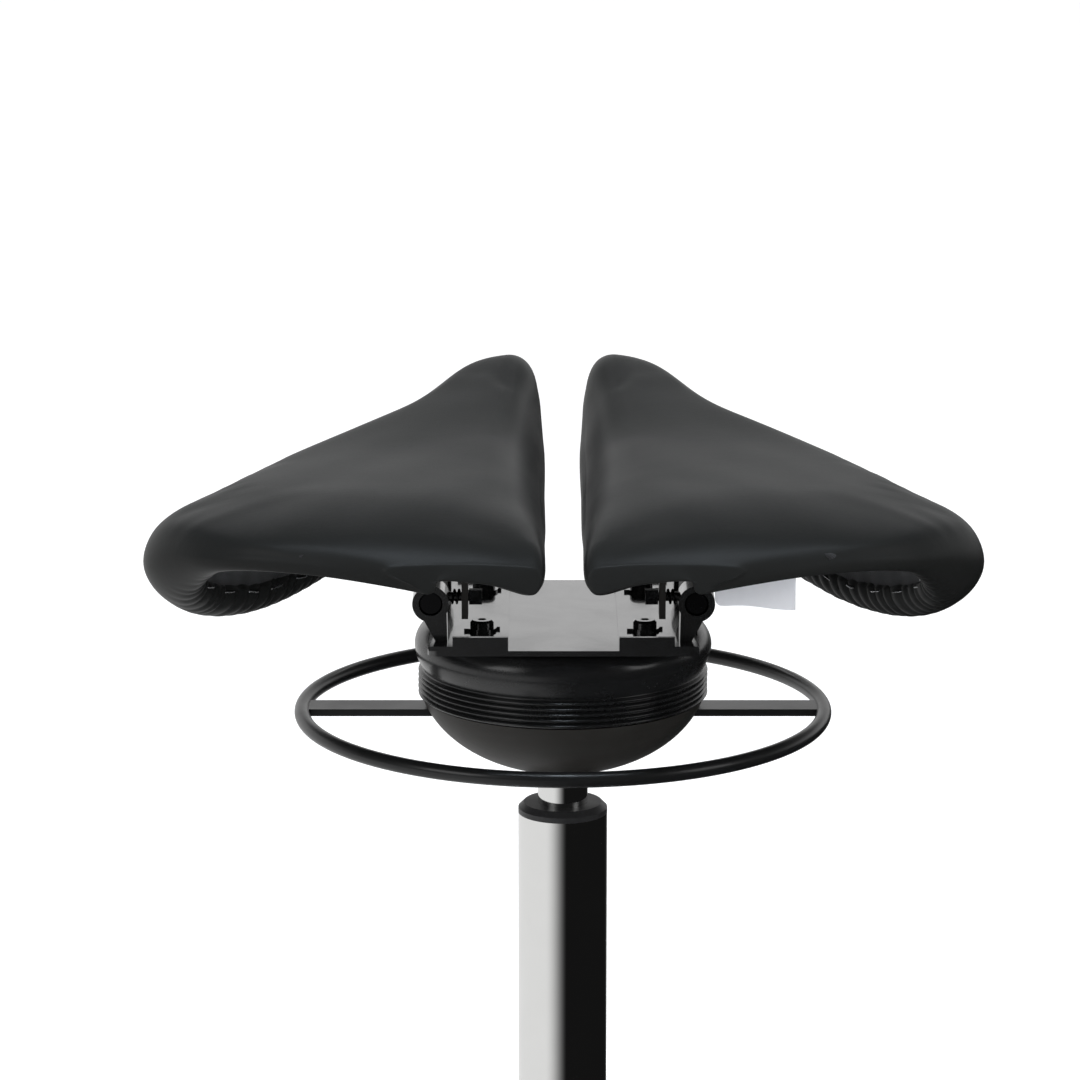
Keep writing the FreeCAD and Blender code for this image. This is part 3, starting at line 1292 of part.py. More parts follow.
class Section:
    """Named points of one cross-section, drawn in from the seat's outside by an inset."""

    def __init__(self, y, y_place, inset):
        at = station_at(y)
        self.y_place = y_place
        self.side_x = at["side"] + inset
        self.rounding = min(SIDE_ROUND, (at["top"] - at["low_in"]) * 0.44)
        self.inset = inset
        self.high_centre = V(at["side"] + self.rounding, at["top"] - self.rounding, 0)
        self.low_centre = V(at["side"] + self.rounding, at["low_in"] + self.rounding, 0)
        self.shoulder = at["shoulder"]
        self.shoulder_centre = V(at["outer"] - self.shoulder, at["outer_z"], 0)
        self.fall = at["fall"]
        self.roll = at["roll"]
        self.roll_centre = V(at["roll_x"], at["roll_z"], 0)
        across = at["outer"] - at["roll_x"]
        down = at["outer_z"] - at["roll_z"]
        self.flank = (across ** 2 + down ** 2 - self.roll ** 2) / (2 * (across - self.roll))
        self.flank_centre = V(at["outer"] - self.flank, at["outer_z"], 0)
        meeting = self.roll_centre - self.flank_centre
        self.flank_angle = math.degrees(math.atan2(meeting.y, meeting.x))
        self.hollow = at["low_out"] - at["roll_z"]
        self.hollow_centre = V(at["roll_x"] - self.roll - self.hollow, at["roll_z"], 0)
        self.low_in = at["low_in"]

    def lift(self, point):
        return V(point.x, self.y_place, point.y + HANDLE_Z.value)

    def line(self, start, end):
        return Part.LineSegment(self.lift(start), self.lift(end)).toShape()

    def arc(self, start, middle, end):
        return Part.Arc(self.lift(start), self.lift(middle), self.lift(end)).toShape()

    def round(self, centre, radius, start, end):
        points = [on_circle(centre, radius, angle) for angle in (start, (start + end) / 2, end)]
        return self.arc(*points)

    def underside(self, inset, turn):
        """Points of the underside: at the gap, where the hollow begins, and turned up to an angle round it."""
        radius = self.hollow + inset
        return (
            V(self.low_centre.x, self.low_in + inset, 0),
            on_circle(self.hollow_centre, radius, 90),
            on_circle(self.hollow_centre, radius, (90 + turn) / 2),
            on_circle(self.hollow_centre, radius, turn),
        )

    def outline(self):
        inset = self.inset
        rounding = self.rounding - inset
        top_start = on_circle(self.high_centre, rounding, 90)
        top_end = on_circle(self.shoulder_centre, self.shoulder - inset, 90 - self.fall)
        chord = top_end - top_start
        sag = chord.Length / 2 * math.tan(math.radians(self.fall / 4))
        top_middle = (top_start + top_end) * 0.5 + V(-chord.y, chord.x, 0).normalize() * sag
        low_start, hollow_start, hollow_middle, hollow_end = self.underside(inset, 0)
        roll = self.roll - inset
        return Part.Wire([
            self.line(on_circle(self.low_centre, rounding, 180), on_circle(self.high_centre, rounding, 180)),
            self.round(self.high_centre, rounding, 180, 90),
            self.arc(top_start, top_middle, top_end),
            self.round(self.shoulder_centre, self.shoulder - inset, 90 - self.fall, 0),
            self.round(self.flank_centre, self.flank - inset, 0, self.flank_angle),
            self.round(self.roll_centre, roll, self.flank_angle, -135),
            self.round(self.roll_centre, roll, -135, -180),
            self.arc(hollow_end, hollow_middle, hollow_start),
            self.line(hollow_start, low_start),
            self.round(self.low_centre, rounding, 270, 180),
        ])

    def board(self, lower, upper, turn):
        """Closed outline that holds the shell: the underside between two insets, up to a turn of the hollow."""
        low = self.underside(lower, turn)
        high = self.underside(upper, turn)
        side_x = self.high_centre.x - self.rounding - 4
        return Part.Wire([
            self.line(V(side_x, low[0].y, 0), low[1]),
            self.arc(low[1], low[2], low[3]),
            self.line(low[3], high[3]),
            self.arc(high[3], high[2], high[1]),
            self.line(high[1], V(side_x, high[0].y, 0)),
            self.line(V(side_x, high[0].y, 0), V(side_x, low[0].y, 0)),
        ])

    def mouth(self, hem, upper, turn):
        """Closed outline of the space under the seat where the cover is open."""
        high = self.underside(upper, turn)
        side_x = self.high_centre.x - self.rounding + hem
        below = -12.0
        return Part.Wire([
            self.line(V(side_x, high[0].y + below, 0), high[3] + V(below, below, 0)),
            self.line(high[3] + V(below, below, 0), high[3]),
            self.arc(high[3], high[2], high[1]),
            self.line(high[1], V(side_x, high[0].y, 0)),
            self.line(V(side_x, high[0].y, 0), V(side_x, high[0].y + below, 0)),
        ])


def loft_stations(draw, inset=0.0, ends=0.0, first=None, last=None):
    """Smooth solid through the stations, shortened by ends at the rear and at the nose."""
    length_scale = S.seat_length.value / STATION_LENGTH
    first = STATIONS[0][0] if first is None else first
    last = STATIONS[-1][0] if last is None else last
    rows = [first] + [row[0] for row in STATIONS if first < row[0] < last] + [last]
    wires = []
    for y in rows:
        y_place = y * length_scale
        y_place += ends if y == first else (-ends if y == last else 0.0)
        wires.append(draw(Section(y, y_place, inset)))
    return Part.makeLoft(wires, True, False)


def make_seat_layers():
    """Cover, foam and shell of the right half, cut from one another so that they touch and never overlap."""
    skin = S.cover_thickness.value
    shell = S.shell_thickness.value
    hem = S.hem_width.value
    whole = loft_stations(lambda section: section.outline())
    core = loft_stations(lambda section: section.outline(), inset=skin, ends=skin)
    board_tool = loft_stations(lambda section: section.board(-1.0, skin + shell, 35), first=-148.0, last=185.0)
    mouth_tool = loft_stations(lambda section: section.mouth(hem, skin + 1.0, 10), first=-125.0, last=150.0)
    board = core.common(board_tool)
    foam = core.cut(board_tool)
    cover = whole.cut(core).cut(mouth_tool)
    return cover, foam, board


def only_solid(shape):
    """The largest solid of a shape, when a cut leaves a sliver beside it."""
    return max(shape.Solids, key=lambda solid: solid.Volume)


def seat_halves():
    """Cover, foam and shell for both halves, and the screws that hold the shells to their arms."""
    cover, foam, board = [only_solid(shape) for shape in make_seat_layers()]
    screws = []
    drill = []
    for x, y in screw_spots(1):
        spot = V(x.value, y.value, ARM_PLATE_LOW.value - 1.5)
        shank_top = SEAT_BASE.value + 5.0
        shank = Part.makeCylinder(SCREW_RADIUS, shank_top - spot.z, spot)
        head = Part.makeCylinder(SCREW_RADIUS + 1.8, 1.5, spot)
        screws.append(shank.fuse(head).removeSplitter())
        drill.append(Part.makeCylinder(SCREW_RADIUS, shank_top - spot.z, spot))
    for hole in drill:
        board = board.cut(hole)
        foam = foam.cut(hole)
        cover = cover.cut(hole)
    pieces = {
        "seat_cover": only_solid(cover),
        "seat_foam": only_solid(foam),
        "seat_shell": only_solid(board),
        "seat_screws": Part.makeCompound(screws),
    }
    made = [seat_label(only_solid(cover))]
    for side, sign in SIDES:
        for name, shape in pieces.items():
            copy = shape if sign > 0 else shape.mirror(V(), X_AXIS)
            made.append(shape_part("%s_%s" % (name, side), copy))
    return made


def seat_label(cover):
    """Bare fabric tag sewn in under the right half's rear edge."""
    width = S.label_width.value
    thick = S.label_thickness.value
    rear = -S.seat_rear.value + 26.0
    high = HANDLE_Z.value + S.seat_base_rise.value + 14.0
    low = HANDLE_Z.value + S.seat_base_rise.value + 5.0 - S.label_drop.value
    tag = Part.makeBox(width, thick, high - low, V(S.label_offset.value - width / 2, rear, low))
    return shape_part("seat_label", only_solid(tag.cut(cover)))


def build_all():
    made = [base_star(), castor_stems()]
    for number in range(ARM_COUNT):
        made += [castor_hood(number + 0), castor_axle(number)]
        made += [castor_wheel(number, side, sign) for side, sign in SIDES]
    made += [column_tube(), guide_sleeve(), thrust_bearing(), piston_rod(), piston_head(), rod_clip()]
    made += [gas_cylinder(), cylinder_gland(), valve_pin()]
    made += [tilt_hub(), swing_bowl(), buffer_shelf(), rubber_buffers(), gimbal_ring(), gimbal_pins()]
    made += [swing_carrier(), bellows()]
    ring = handle_ring()
    made += [ring, handle_bar(ring)]
    made += [seat_plate(), plate_bolts(), hinge_pins(), limit_bolts(), limit_springs()]
    for side, sign in SIDES:
        made += [side_bracket(side, sign), hinge_arm(side, sign)]
    made += seat_halves()
    return made


def check_document(made):
    """Stops the build if any object failed to recompute or any sub-part is not a valid solid."""
    for thing in DOCUMENT.Objects:
        if "Invalid" in thing.State or "Error" in thing.State:
            raise RuntimeError("%s is %s" % (thing.Label, thing.State))
    for thing in made:
        shape = thing.Shape
        if shape.isNull() or not shape.isValid() or not shape.Solids:
            raise RuntimeError("%s has no valid solid" % thing.Label)


def main():
    made = build_all()
    DOCUMENT.recompute()
    check_document(made)
    os.makedirs("parts", exist_ok=True)
    for thing in made:
        thing.Shape.exportStep("parts/%s.step" % thing.Label)
        print("%-24s %2d solids %10.0f mm3" % (thing.Label, len(thing.Shape.Solids), thing.Shape.Volume))


main()
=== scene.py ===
"""Looks of the saddle stool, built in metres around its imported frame."""
import json
import math

import bpy
import numpy as np
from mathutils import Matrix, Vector


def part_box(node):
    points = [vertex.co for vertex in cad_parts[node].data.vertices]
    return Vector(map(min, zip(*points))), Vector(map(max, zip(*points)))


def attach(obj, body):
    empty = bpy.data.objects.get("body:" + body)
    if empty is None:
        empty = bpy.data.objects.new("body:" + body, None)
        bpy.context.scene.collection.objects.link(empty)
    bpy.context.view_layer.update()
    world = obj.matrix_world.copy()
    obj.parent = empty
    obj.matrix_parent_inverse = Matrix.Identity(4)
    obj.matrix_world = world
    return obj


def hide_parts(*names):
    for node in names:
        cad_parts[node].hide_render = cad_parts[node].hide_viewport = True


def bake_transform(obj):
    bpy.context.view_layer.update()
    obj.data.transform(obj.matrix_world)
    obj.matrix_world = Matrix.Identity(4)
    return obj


MM = 0.001
# Height of the handle's level above the floor, in mm, with the column at its lowest.
HANDLE_Z = 415.0
# The seat's pieces are drawn for the right half, and mirrored where the sign is negative.
SIDES = (("left", -1), ("right", 1))

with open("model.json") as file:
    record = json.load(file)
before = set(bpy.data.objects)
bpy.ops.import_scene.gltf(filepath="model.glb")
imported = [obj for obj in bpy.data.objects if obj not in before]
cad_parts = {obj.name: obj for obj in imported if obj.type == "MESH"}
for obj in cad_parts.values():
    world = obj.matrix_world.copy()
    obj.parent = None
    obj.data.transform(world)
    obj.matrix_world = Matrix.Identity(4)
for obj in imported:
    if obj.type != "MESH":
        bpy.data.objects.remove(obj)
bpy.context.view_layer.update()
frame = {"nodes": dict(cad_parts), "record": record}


# Camera: behind the stool, a little above the seat, looking along +Y and down.
CAMERA_PLACE = (-0.0128, -2.5, 1.091)
CAMERA_DOWN = 13.05
CAMERA_LENS = 154.2


def make_camera():
    data = bpy.data.cameras.new("camera")
    data.lens = CAMERA_LENS
    data.sensor_width = 36.0
    camera = bpy.data.objects.new("camera", data)
    camera.location = CAMERA_PLACE
    camera.rotation_euler = (math.radians(90 - CAMERA_DOWN), 0, 0)
    bpy.context.scene.collection.objects.link(camera)
    bpy.context.scene.camera = camera


make_camera()


# Materials.
def set_range(node, low, high, start, end):
    """Makes a Map Range node take low..high to start..end."""
    names = ("From Min", "From Max", "To Min", "To Max")
    for name, value in zip(names, (low, high, start, end)):
        node.inputs[name].default_value = value


class Look:
    """A material under construction: short calls that add and join shader nodes."""

    def __init__(self, name):
        self.material = bpy.data.materials.new(name)
        self.material.use_nodes = True
        self.nodes = self.material.node_tree.nodes
        self.links = self.material.node_tree.links
        self.shader = self.nodes["Principled BSDF"]
        self.place = self.nodes.new("ShaderNodeTexCoord").outputs["Object"]

    def set(self, **values):
        for name, value in values.items():
            self.shader.inputs[name.replace("_", " ")].default_value = value

    def join(self, source, target):
        self.links.new(source, target)

    def stretched(self, scale):
        node = self.nodes.new("ShaderNodeMapping")
        node.inputs["Scale"].default_value = scale
        self.join(self.place, node.inputs["Vector"])
        return node.outputs["Vector"]

    def noise(self, scale, detail=3.0, rough=0.5, place=None, twist=0.0):
        node = self.nodes.new("ShaderNodeTexNoise")
        node.inputs["Scale"].default_value = scale
        node.inputs["Detail"].default_value = detail
        node.inputs["Roughness"].default_value = rough
        node.inputs["Distortion"].default_value = twist
        self.join(place or self.place, node.inputs["Vector"])
        return node.outputs["Fac"]

    def cells(self, scale):
        node = self.nodes.new("ShaderNodeTexVoronoi")
        node.feature = "F1"
        node.inputs["Scale"].default_value = scale
        self.join(self.place, node.inputs["Vector"])
        return node.outputs["Distance"]

    def wave(self, scale, direction):
        node = self.nodes.new("ShaderNodeTexWave")
        node.bands_direction = direction
        node.wave_profile = "SIN"
        node.inputs["Scale"].default_value = scale
        node.inputs["Distortion"].default_value = 0.0
        self.join(self.place, node.inputs["Vector"])
        return node.outputs["Fac"]

    def ramp(self, source, low, high, start, end):
        """Takes source from low..high to start..end."""
        node = self.nodes.new("ShaderNodeMapRange")
        set_range(node, low, high, start, end)
        self.join(source, node.inputs["Value"])
        return node.outputs["Result"]

    def blend(self, share, first, second):
        """Colour between the colours first and second, with noise or a pattern as its share."""
        node = self.nodes.new("ShaderNodeMix")
        node.data_type = "RGBA"
        self.join(share, node.inputs["Factor"])
        for name, value in (("A", first), ("B", second)):
            socket = next(s for s in node.inputs if s.name == name and s.type == "RGBA")
            socket.default_value = (*value, 1.0)
        return next(s for s in node.outputs if s.type == "RGBA")

    def multiply(self, first, second):
        node = self.nodes.new("ShaderNodeMath")
        node.operation = "MULTIPLY"
        self.join(first, node.inputs[0])
        self.join(second, node.inputs[1])
        return node.outputs[0]

    def add(self, first, second, share):
        """first plus share times second."""
        node = self.nodes.new("ShaderNodeMath")
        node.operation = "MULTIPLY_ADD"
        self.join(second, node.inputs[0])
        node.inputs[1].default_value = share
        self.join(first, node.inputs[2])
        return node.outputs[0]

    def bump(self, height, distance, strength, under=None):
        """Relief of a height distance deep, on top of the relief under it."""
        node = self.nodes.new("ShaderNodeBump")
        node.inputs["Distance"].default_value = distance
        node.inputs["Strength"].default_value = strength
        self.join(height, node.inputs["Height"])
        if under is not None:
            self.join(under, node.inputs["Normal"])
        return node.outputs["Normal"]

    def finish(self, colour, rough, normal):
        for source, name in ((colour, "Base Color"), (rough, "Roughness"), (normal, "Normal")):
            self.join(source, self.shader.inputs[name])
        return self.material


def leather_look():
    """Smooth black leather: pores, fine creases and soft waves under a matt finish."""
    look = Look("leather")
    look.set(IOR=1.25, Specular_IOR_Level=0.3)
    patches = look.noise(9, 3, 0.55)
    pores = look.cells(1500)
    creases = look.noise(420, 4, 0.6)
    colour = look.blend(patches, (0.0110, 0.0114, 0.0112), (0.0170, 0.0174, 0.0168))
    rough = look.add(look.ramp(patches, 0.3, 0.7, 0.36, 0.42), pores, 0.05)
    grain = look.bump(pores, 0.00008, 0.30)
    folds = look.bump(creases, 0.00012, 0.35, grain)
    waves = look.bump(look.noise(26, 2, 0.4), 0.0012, 0.16, folds)
    return look.finish(colour, rough, waves)


def lining_look():
    """Woven lining cloth with lint."""
    look = Look("lining")
    look.set(Specular_IOR_Level=0.2, Sheen_Weight=0.15, Sheen_Roughness=0.6)
    warp = look.wave(650, "X")
    weft = look.wave(650, "Y")
    weave = look.multiply(warp, weft)
    lint = look.noise(60, 4, 0.6)
    threads = look.add(weave, lint, 0.4)
    colour = look.blend(threads, (0.010, 0.010, 0.011), (0.026, 0.026, 0.028))
    rough = look.ramp(lint, 0.3, 0.7, 0.85, 0.97)
    return look.finish(colour, rough, look.bump(weave, 0.0003, 0.5))


def paint_look(name, tone, rough_low, rough_high, coat, shine):
    """Powder-coated or painted steel, with a faint orange peel, dust and rubbed patches."""
    look = Look(name)
    look.set(Coat_Weight=coat, Coat_Roughness=0.06, Specular_IOR_Level=shine)
    smudge = look.noise(22, 4, 0.65, twist=0.8)
    dust = look.noise(900, 2, 0.7)
    dark = tuple(c * 0.8 for c in tone)
    pale = tuple(c * 1.35 for c in tone)
    colour = look.blend(smudge, dark, pale)
    rough = look.add(look.ramp(smudge, 0.3, 0.75, rough_low, rough_high), dust, 0.04)
    peel = look.bump(look.noise(480, 2, 0.4), 0.00009, 0.22)
    return look.finish(colour, rough, peel)


def rubber_look(name, tone, rough_low, rough_high):
    """Rubber with a pale bloom and a fine grain."""
    look = Look(name)
    look.set(Specular_IOR_Level=0.5)
    bloom = look.noise(35, 4, 0.6, twist=0.5)
    grain = look.noise(1100, 2, 0.6)
    colour = look.blend(bloom, tone, tuple(c * 1.6 for c in tone))
    rough = look.add(look.ramp(bloom, 0.3, 0.7, rough_low, rough_high), grain, 0.05)
    return look.finish(colour, rough, look.bump(grain, 0.00006, 0.3))


def metal_look(name, tone, rough_low, rough_high, brush=0.0, scratch=0.0):
    """Bare metal: brush is the depth of turning marks, scratch of handling marks; one is given."""
    look = Look(name)
    look.set(Metallic=1.0)
    haze = look.noise(30, 4, 0.6, twist=0.4)
    colour = look.blend(haze, tuple(c * 0.93 for c in tone), tone)
    rough = look.ramp(haze, 0.3, 0.7, rough_low, rough_high)
    normal = None
    if brush:
        lines = look.noise(700, 2, 0.6, look.stretched((1.0, 1.0, 0.03)))
        normal = look.bump(lines, 0.00005, brush)
    if scratch:
        marks = look.noise(240, 5, 0.75, look.stretched((1.0, 1.0, 6.0)))
        normal = look.bump(marks, 0.00003, scratch, normal)
    return look.finish(colour, rough, normal)


def plastic_look(name, tone, rough_low, rough_high, grain_depth):
    """Moulded plastic with a grained surface, worn in places."""
    look = Look(name)
    look.set(Specular_IOR_Level=0.45)
    wear = look.noise(40, 4, 0.6)
    texture = look.cells(900)
    colour = look.blend(wear, tone, tuple(c * 1.4 for c in tone))
    rough = look.add(look.ramp(wear, 0.3, 0.7, rough_low, rough_high), texture, 0.05)
    return look.finish(colour, rough, look.bump(texture, 0.0001, grain_depth))


def cast_look():
    """Rough cast iron."""
    look = Look("cast_iron")
    look.set(Metallic=0.6, Specular_IOR_Level=0.4)
    lumps = look.noise(180, 5, 0.7)
    colour = look.blend(lumps, (0.10, 0.10, 0.105), (0.2, 0.2, 0.205))
    rough = look.ramp(lumps, 0.3, 0.7, 0.55, 0.75)
    return look.finish(colour, rough, look.bump(lumps, 0.0006, 0.5))


def foam_look():
    """Pale open foam."""
    look = Look("foam")
    look.set(Specular_IOR_Level=0.2)
    pores = look.cells(700)
    colour = look.blend(look.noise(20, 3), (0.66, 0.62, 0.50), (0.78, 0.74, 0.62))
    rough = look.ramp(pores, 0.0, 1.0, 0.9, 1.0)
    return look.finish(colour, rough, look.bump(pores, 0.0004, 0.6))


def tag_look():
    """Ribbed label cloth."""
    look = Look("tag")
    look.set(Specular_IOR_Level=0.3, Sheen_Weight=0.2, Sheen_Roughness=0.4)
    ribs = look.wave(900, "Z")
    fray = look.noise(300, 3, 0.6)
    weave = look.add(ribs, fray, 0.6)
    colour = look.blend(weave, (0.72, 0.73, 0.78), (0.86, 0.87, 0.91))
    rough = look.ramp(fray, 0.3, 0.7, 0.5, 0.65)
    return look.finish(colour, rough, look.bump(weave, 0.00015, 0.4))


BLACK = (0.0080, 0.0082, 0.0085)


def make_looks():
    return {
        "leather": leather_look(),
        "lining": lining_look(),
        "gloss_black": paint_look("gloss_black", BLACK, 0.10, 0.24, 0.8, 0.5),
        "ring_black": paint_look("ring_black", BLACK, 0.26, 0.36, 0.1, 0.35),
        "satin_black": paint_look("satin_black", (0.0200, 0.0185, 0.0165), 0.42, 0.5, 0.0, 0.2),
        "bellows_rubber": rubber_look("bellows_rubber", (0.0070, 0.0072, 0.0075), 0.16, 0.27),
        "buffer_rubber": rubber_look("buffer_rubber", (0.022, 0.022, 0.022), 0.55, 0.7),
        "chrome": metal_look("chrome", (0.80, 0.80, 0.79), 0.045, 0.085, scratch=0.05),
        "steel": metal_look("steel", (0.56, 0.57, 0.58), 0.22, 0.34, brush=0.25),
        "black_steel": metal_look("black_steel", (0.030, 0.030, 0.032), 0.2, 0.32, brush=0.15),
        "polished_aluminium": metal_look("polished_aluminium", (0.83, 0.84, 0.85), 0.10, 0.2,
                                         scratch=0.12),
        "brass": metal_look("brass", (0.72, 0.56, 0.27), 0.25, 0.4, scratch=0.15),
        "black_plastic": plastic_look("black_plastic", (0.016, 0.016, 0.017), 0.38, 0.5, 0.25),
        "wheel_nylon": plastic_look("wheel_nylon", (0.022, 0.022, 0.024), 0.34, 0.46, 0.12),
        "cast_iron": cast_look(),
        "foam": foam_look(),
        "tag": tag_look(),
    }


LOOKS = make_looks()

# Slots whose look has another name. The other slots have the look of their own name.
LOOK_OF_SLOT = {
    "seal_brass": "brass",
    "black_paint": "gloss_black",
    "satin_black_paint": "satin_black",
    "black_rubber": "bellows_rubber",
    "cast_hub": "cast_iron",
    "black_leather": "leather",
    "seat_foam": "foam",
    "shell_plastic": "lining",
    "label_fabric": "tag",
}

# Nodes that look unlike the rest of their slot: blackened fixings of the hinges, and the handle.
LOOK_OF_NODE = {
    "hinge_pins": "black_steel",
    "limit_springs": "black_steel",
    "handle_ring": "ring_black",
    "handle_bar": "ring_black",
}


def slots_of_nodes():
    return {row["node"]: row["material_slot"] for row in frame["record"]["subparts"]}


def dress_frame():
    """Gives every CAD node the look of its slot, or its own look."""
    slots = slots_of_nodes()
    for name, node in frame["nodes"].items():
        slot = slots[name]
        look = LOOKS[LOOK_OF_NODE.get(name) or LOOK_OF_SLOT.get(slot, slot)]
        if not node.data.materials:
            node.data.materials.append(look)
        for index in range(len(node.data.materials)):
            node.data.materials[index] = look


dress_frame()


# Meshes.
def make_mesh(name, points, faces, look):
    """Smooth-shaded object from points in metres."""
    mesh = bpy.data.meshes.new(name)
    mesh.from_pydata([tuple(p) for p in points], [], faces)
    mesh.validate()
    mesh.polygons.foreach_set("use_smooth", [True] * len(mesh.polygons))
    mesh.materials.append(LOOKS[look])
    mesh.update()
    made = bpy.data.objects.new(name, mesh)
    bpy.context.scene.collection.objects.link(made)
    return made


def apply_modifiers(thing):
    """Replaces the object's mesh by what its modifiers make of it."""
    graph = bpy.context.evaluated_depsgraph_get()
    mesh = bpy.data.meshes.new_from_object(thing.evaluated_get(graph))
    thing.modifiers.clear()
    thing.data = mesh


def ease(value, low, high):
    """0 below low, 1 above high and smooth between."""
    share = np.clip((np.asarray(value, float) - low) / (high - low), 0, 1)
    return share * share * (3 - 2 * share)


def hashed(number, salt):
    """Repeatable number from 0 to 1."""
    return (math.sin(number * 127.1 + salt * 311.7 + 17.0) * 43758.5453) % 1.0


# Seat halves. A station is one cross-section of the right half across the seat at y, in mm, with
# heights above the handle. side is the inner side's x, outer and outer_z are the outermost point,
# shoulder and fall the shoulder's radius and the top's slope there in degrees, top is the top's
# height at the gap, low_in and low_out are the underside's height at the gap and at the roll,
# roll_x, roll_z and roll are the rolled edge's centre and radius, and edge is the radius of the
# top's inner edge. LOW_ROUND is the largest radius of the underside's inner edge.
COLUMNS = ("y", "side", "outer", "outer_z", "shoulder", "fall", "top", "low_in", "low_out",
           "roll_x", "roll_z", "roll", "edge")
STATIONS = np.array((
    (-170.0, 12.0, 76.0, 112.5, 6.0, 6.0, 118.0, 106.0, 111.0, 70.0, 110.0, 3.5, 5.5),
    (-163.0, 8.5, 119.0, 119.0, 7.0, 10.0, 126.5, 103.5, 119.5, 110.0, 118.0, 4.0, 9.0),
    (-148.0, 7.0, 169.0, 121.5, 9.0, 14.0, 133.0, 102.0, 123.5, 158.5, 120.5, 4.5, 13.0),
    (-120.0, 7.0, 203.0, 115.5, 17.0, 16.0, 137.0, 103.0, 118.0, 190.0, 111.0, 7.0, 17.0),
    (-85.0, 7.0, 225.5, 107.0, 25.0, 15.0, 138.5, 104.5, 108.0, 204.0, 94.0, 12.0, 20.0),
    (-40.0, 7.0, 221.0, 103.5, 30.0, 14.0, 139.0, 104.5, 104.5, 189.0, 79.0, 16.0, 21.0),
    (10.0, 7.0, 199.0, 105.0, 31.0, 12.0, 140.0, 104.5, 104.5, 158.0, 77.0, 16.0, 21.0),
    (60.0, 7.0, 168.0, 109.5, 31.0, 12.0, 142.5, 104.5, 105.5, 127.0, 87.0, 15.0, 21.0),
    (110.0, 7.0, 126.0, 120.0, 27.0, 15.0, 150.0, 109.0, 113.0, 98.0, 104.0, 12.0, 23.0),
    (155.0, 8.0, 88.0, 134.5, 22.0, 17.0, 160.5, 121.0, 126.0, 70.0, 124.0, 9.0, 23.0),
    (185.0, 11.0, 65.0, 146.5, 17.5, 18.0, 168.5, 138.0, 142.0, 51.0, 140.5, 7.0, 20.0),
    (203.0, 18.0, 47.0, 152.5, 8.5, 12.0, 162.5, 147.0, 149.0, 40.5, 148.0, 4.0, 10.5),
))
LOW_ROUND = 14.0


def natural_spline(knots, values):
    """Second derivatives of the smooth curve through values at the knots, one column each."""
    count = len(knots)
    gaps = np.diff(knots)
    slopes = np.diff(values, axis=0) / gaps[:, None]
    matrix = np.eye(count)
    right = np.zeros_like(values)
    for k in range(1, count - 1):
        matrix[k, k - 1:k + 2] = gaps[k - 1], 2 * (gaps[k - 1] + gaps[k]), gaps[k]
        right[k] = 6 * (slopes[k] - slopes[k - 1])
    return np.linalg.solve(matrix, right)


BENDS = natural_spline(STATIONS[:, 0], STATIONS)


def station_at(y):
    """The station's values by name at y, on a smooth curve through the rows of STATIONS."""
    knots = STATIONS[:, 0]
    k = int(np.clip(np.searchsorted(knots, y) - 1, 0, len(knots) - 2))
    gap = knots[k + 1] - knots[k]
    a = (knots[k + 1] - y) / gap
    b = (y - knots[k]) / gap
    values = a * STATIONS[k] + b * STATIONS[k + 1]
    values = values + ((a ** 3 - a) * BENDS[k] + (b ** 3 - b) * BENDS[k + 1]) * gap * gap / 6
    return dict(zip(COLUMNS, values))


def arc_points(centre, radius, start, end, count):
    """Points on an arc, without its last one; angles are in degrees from +X to +Z."""
    turn = np.radians(np.linspace(start, end, count, endpoint=False))
    return np.stack([centre[0] + radius * np.cos(turn), centre[1] + radius * np.sin(turn)], 1)


def line_points(start, end, count):
    """Points on a straight line, without its last one."""
    share = np.linspace(0, 1, count, endpoint=False)[:, None]
    return np.asarray(start) * (1 - share) + np.asarray(end) * share


# Names and point counts of the outline's parts, in order: up the inner side, over the top, round
# the outer edge, up the hollow and back along the underside.
PARTS = (("inner", 3), ("inner_top", 10), ("top", 30), ("shoulder", 10), ("flank", 10),
         ("roll", 14), ("hollow", 8), ("under", 16), ("inner_low", 8))


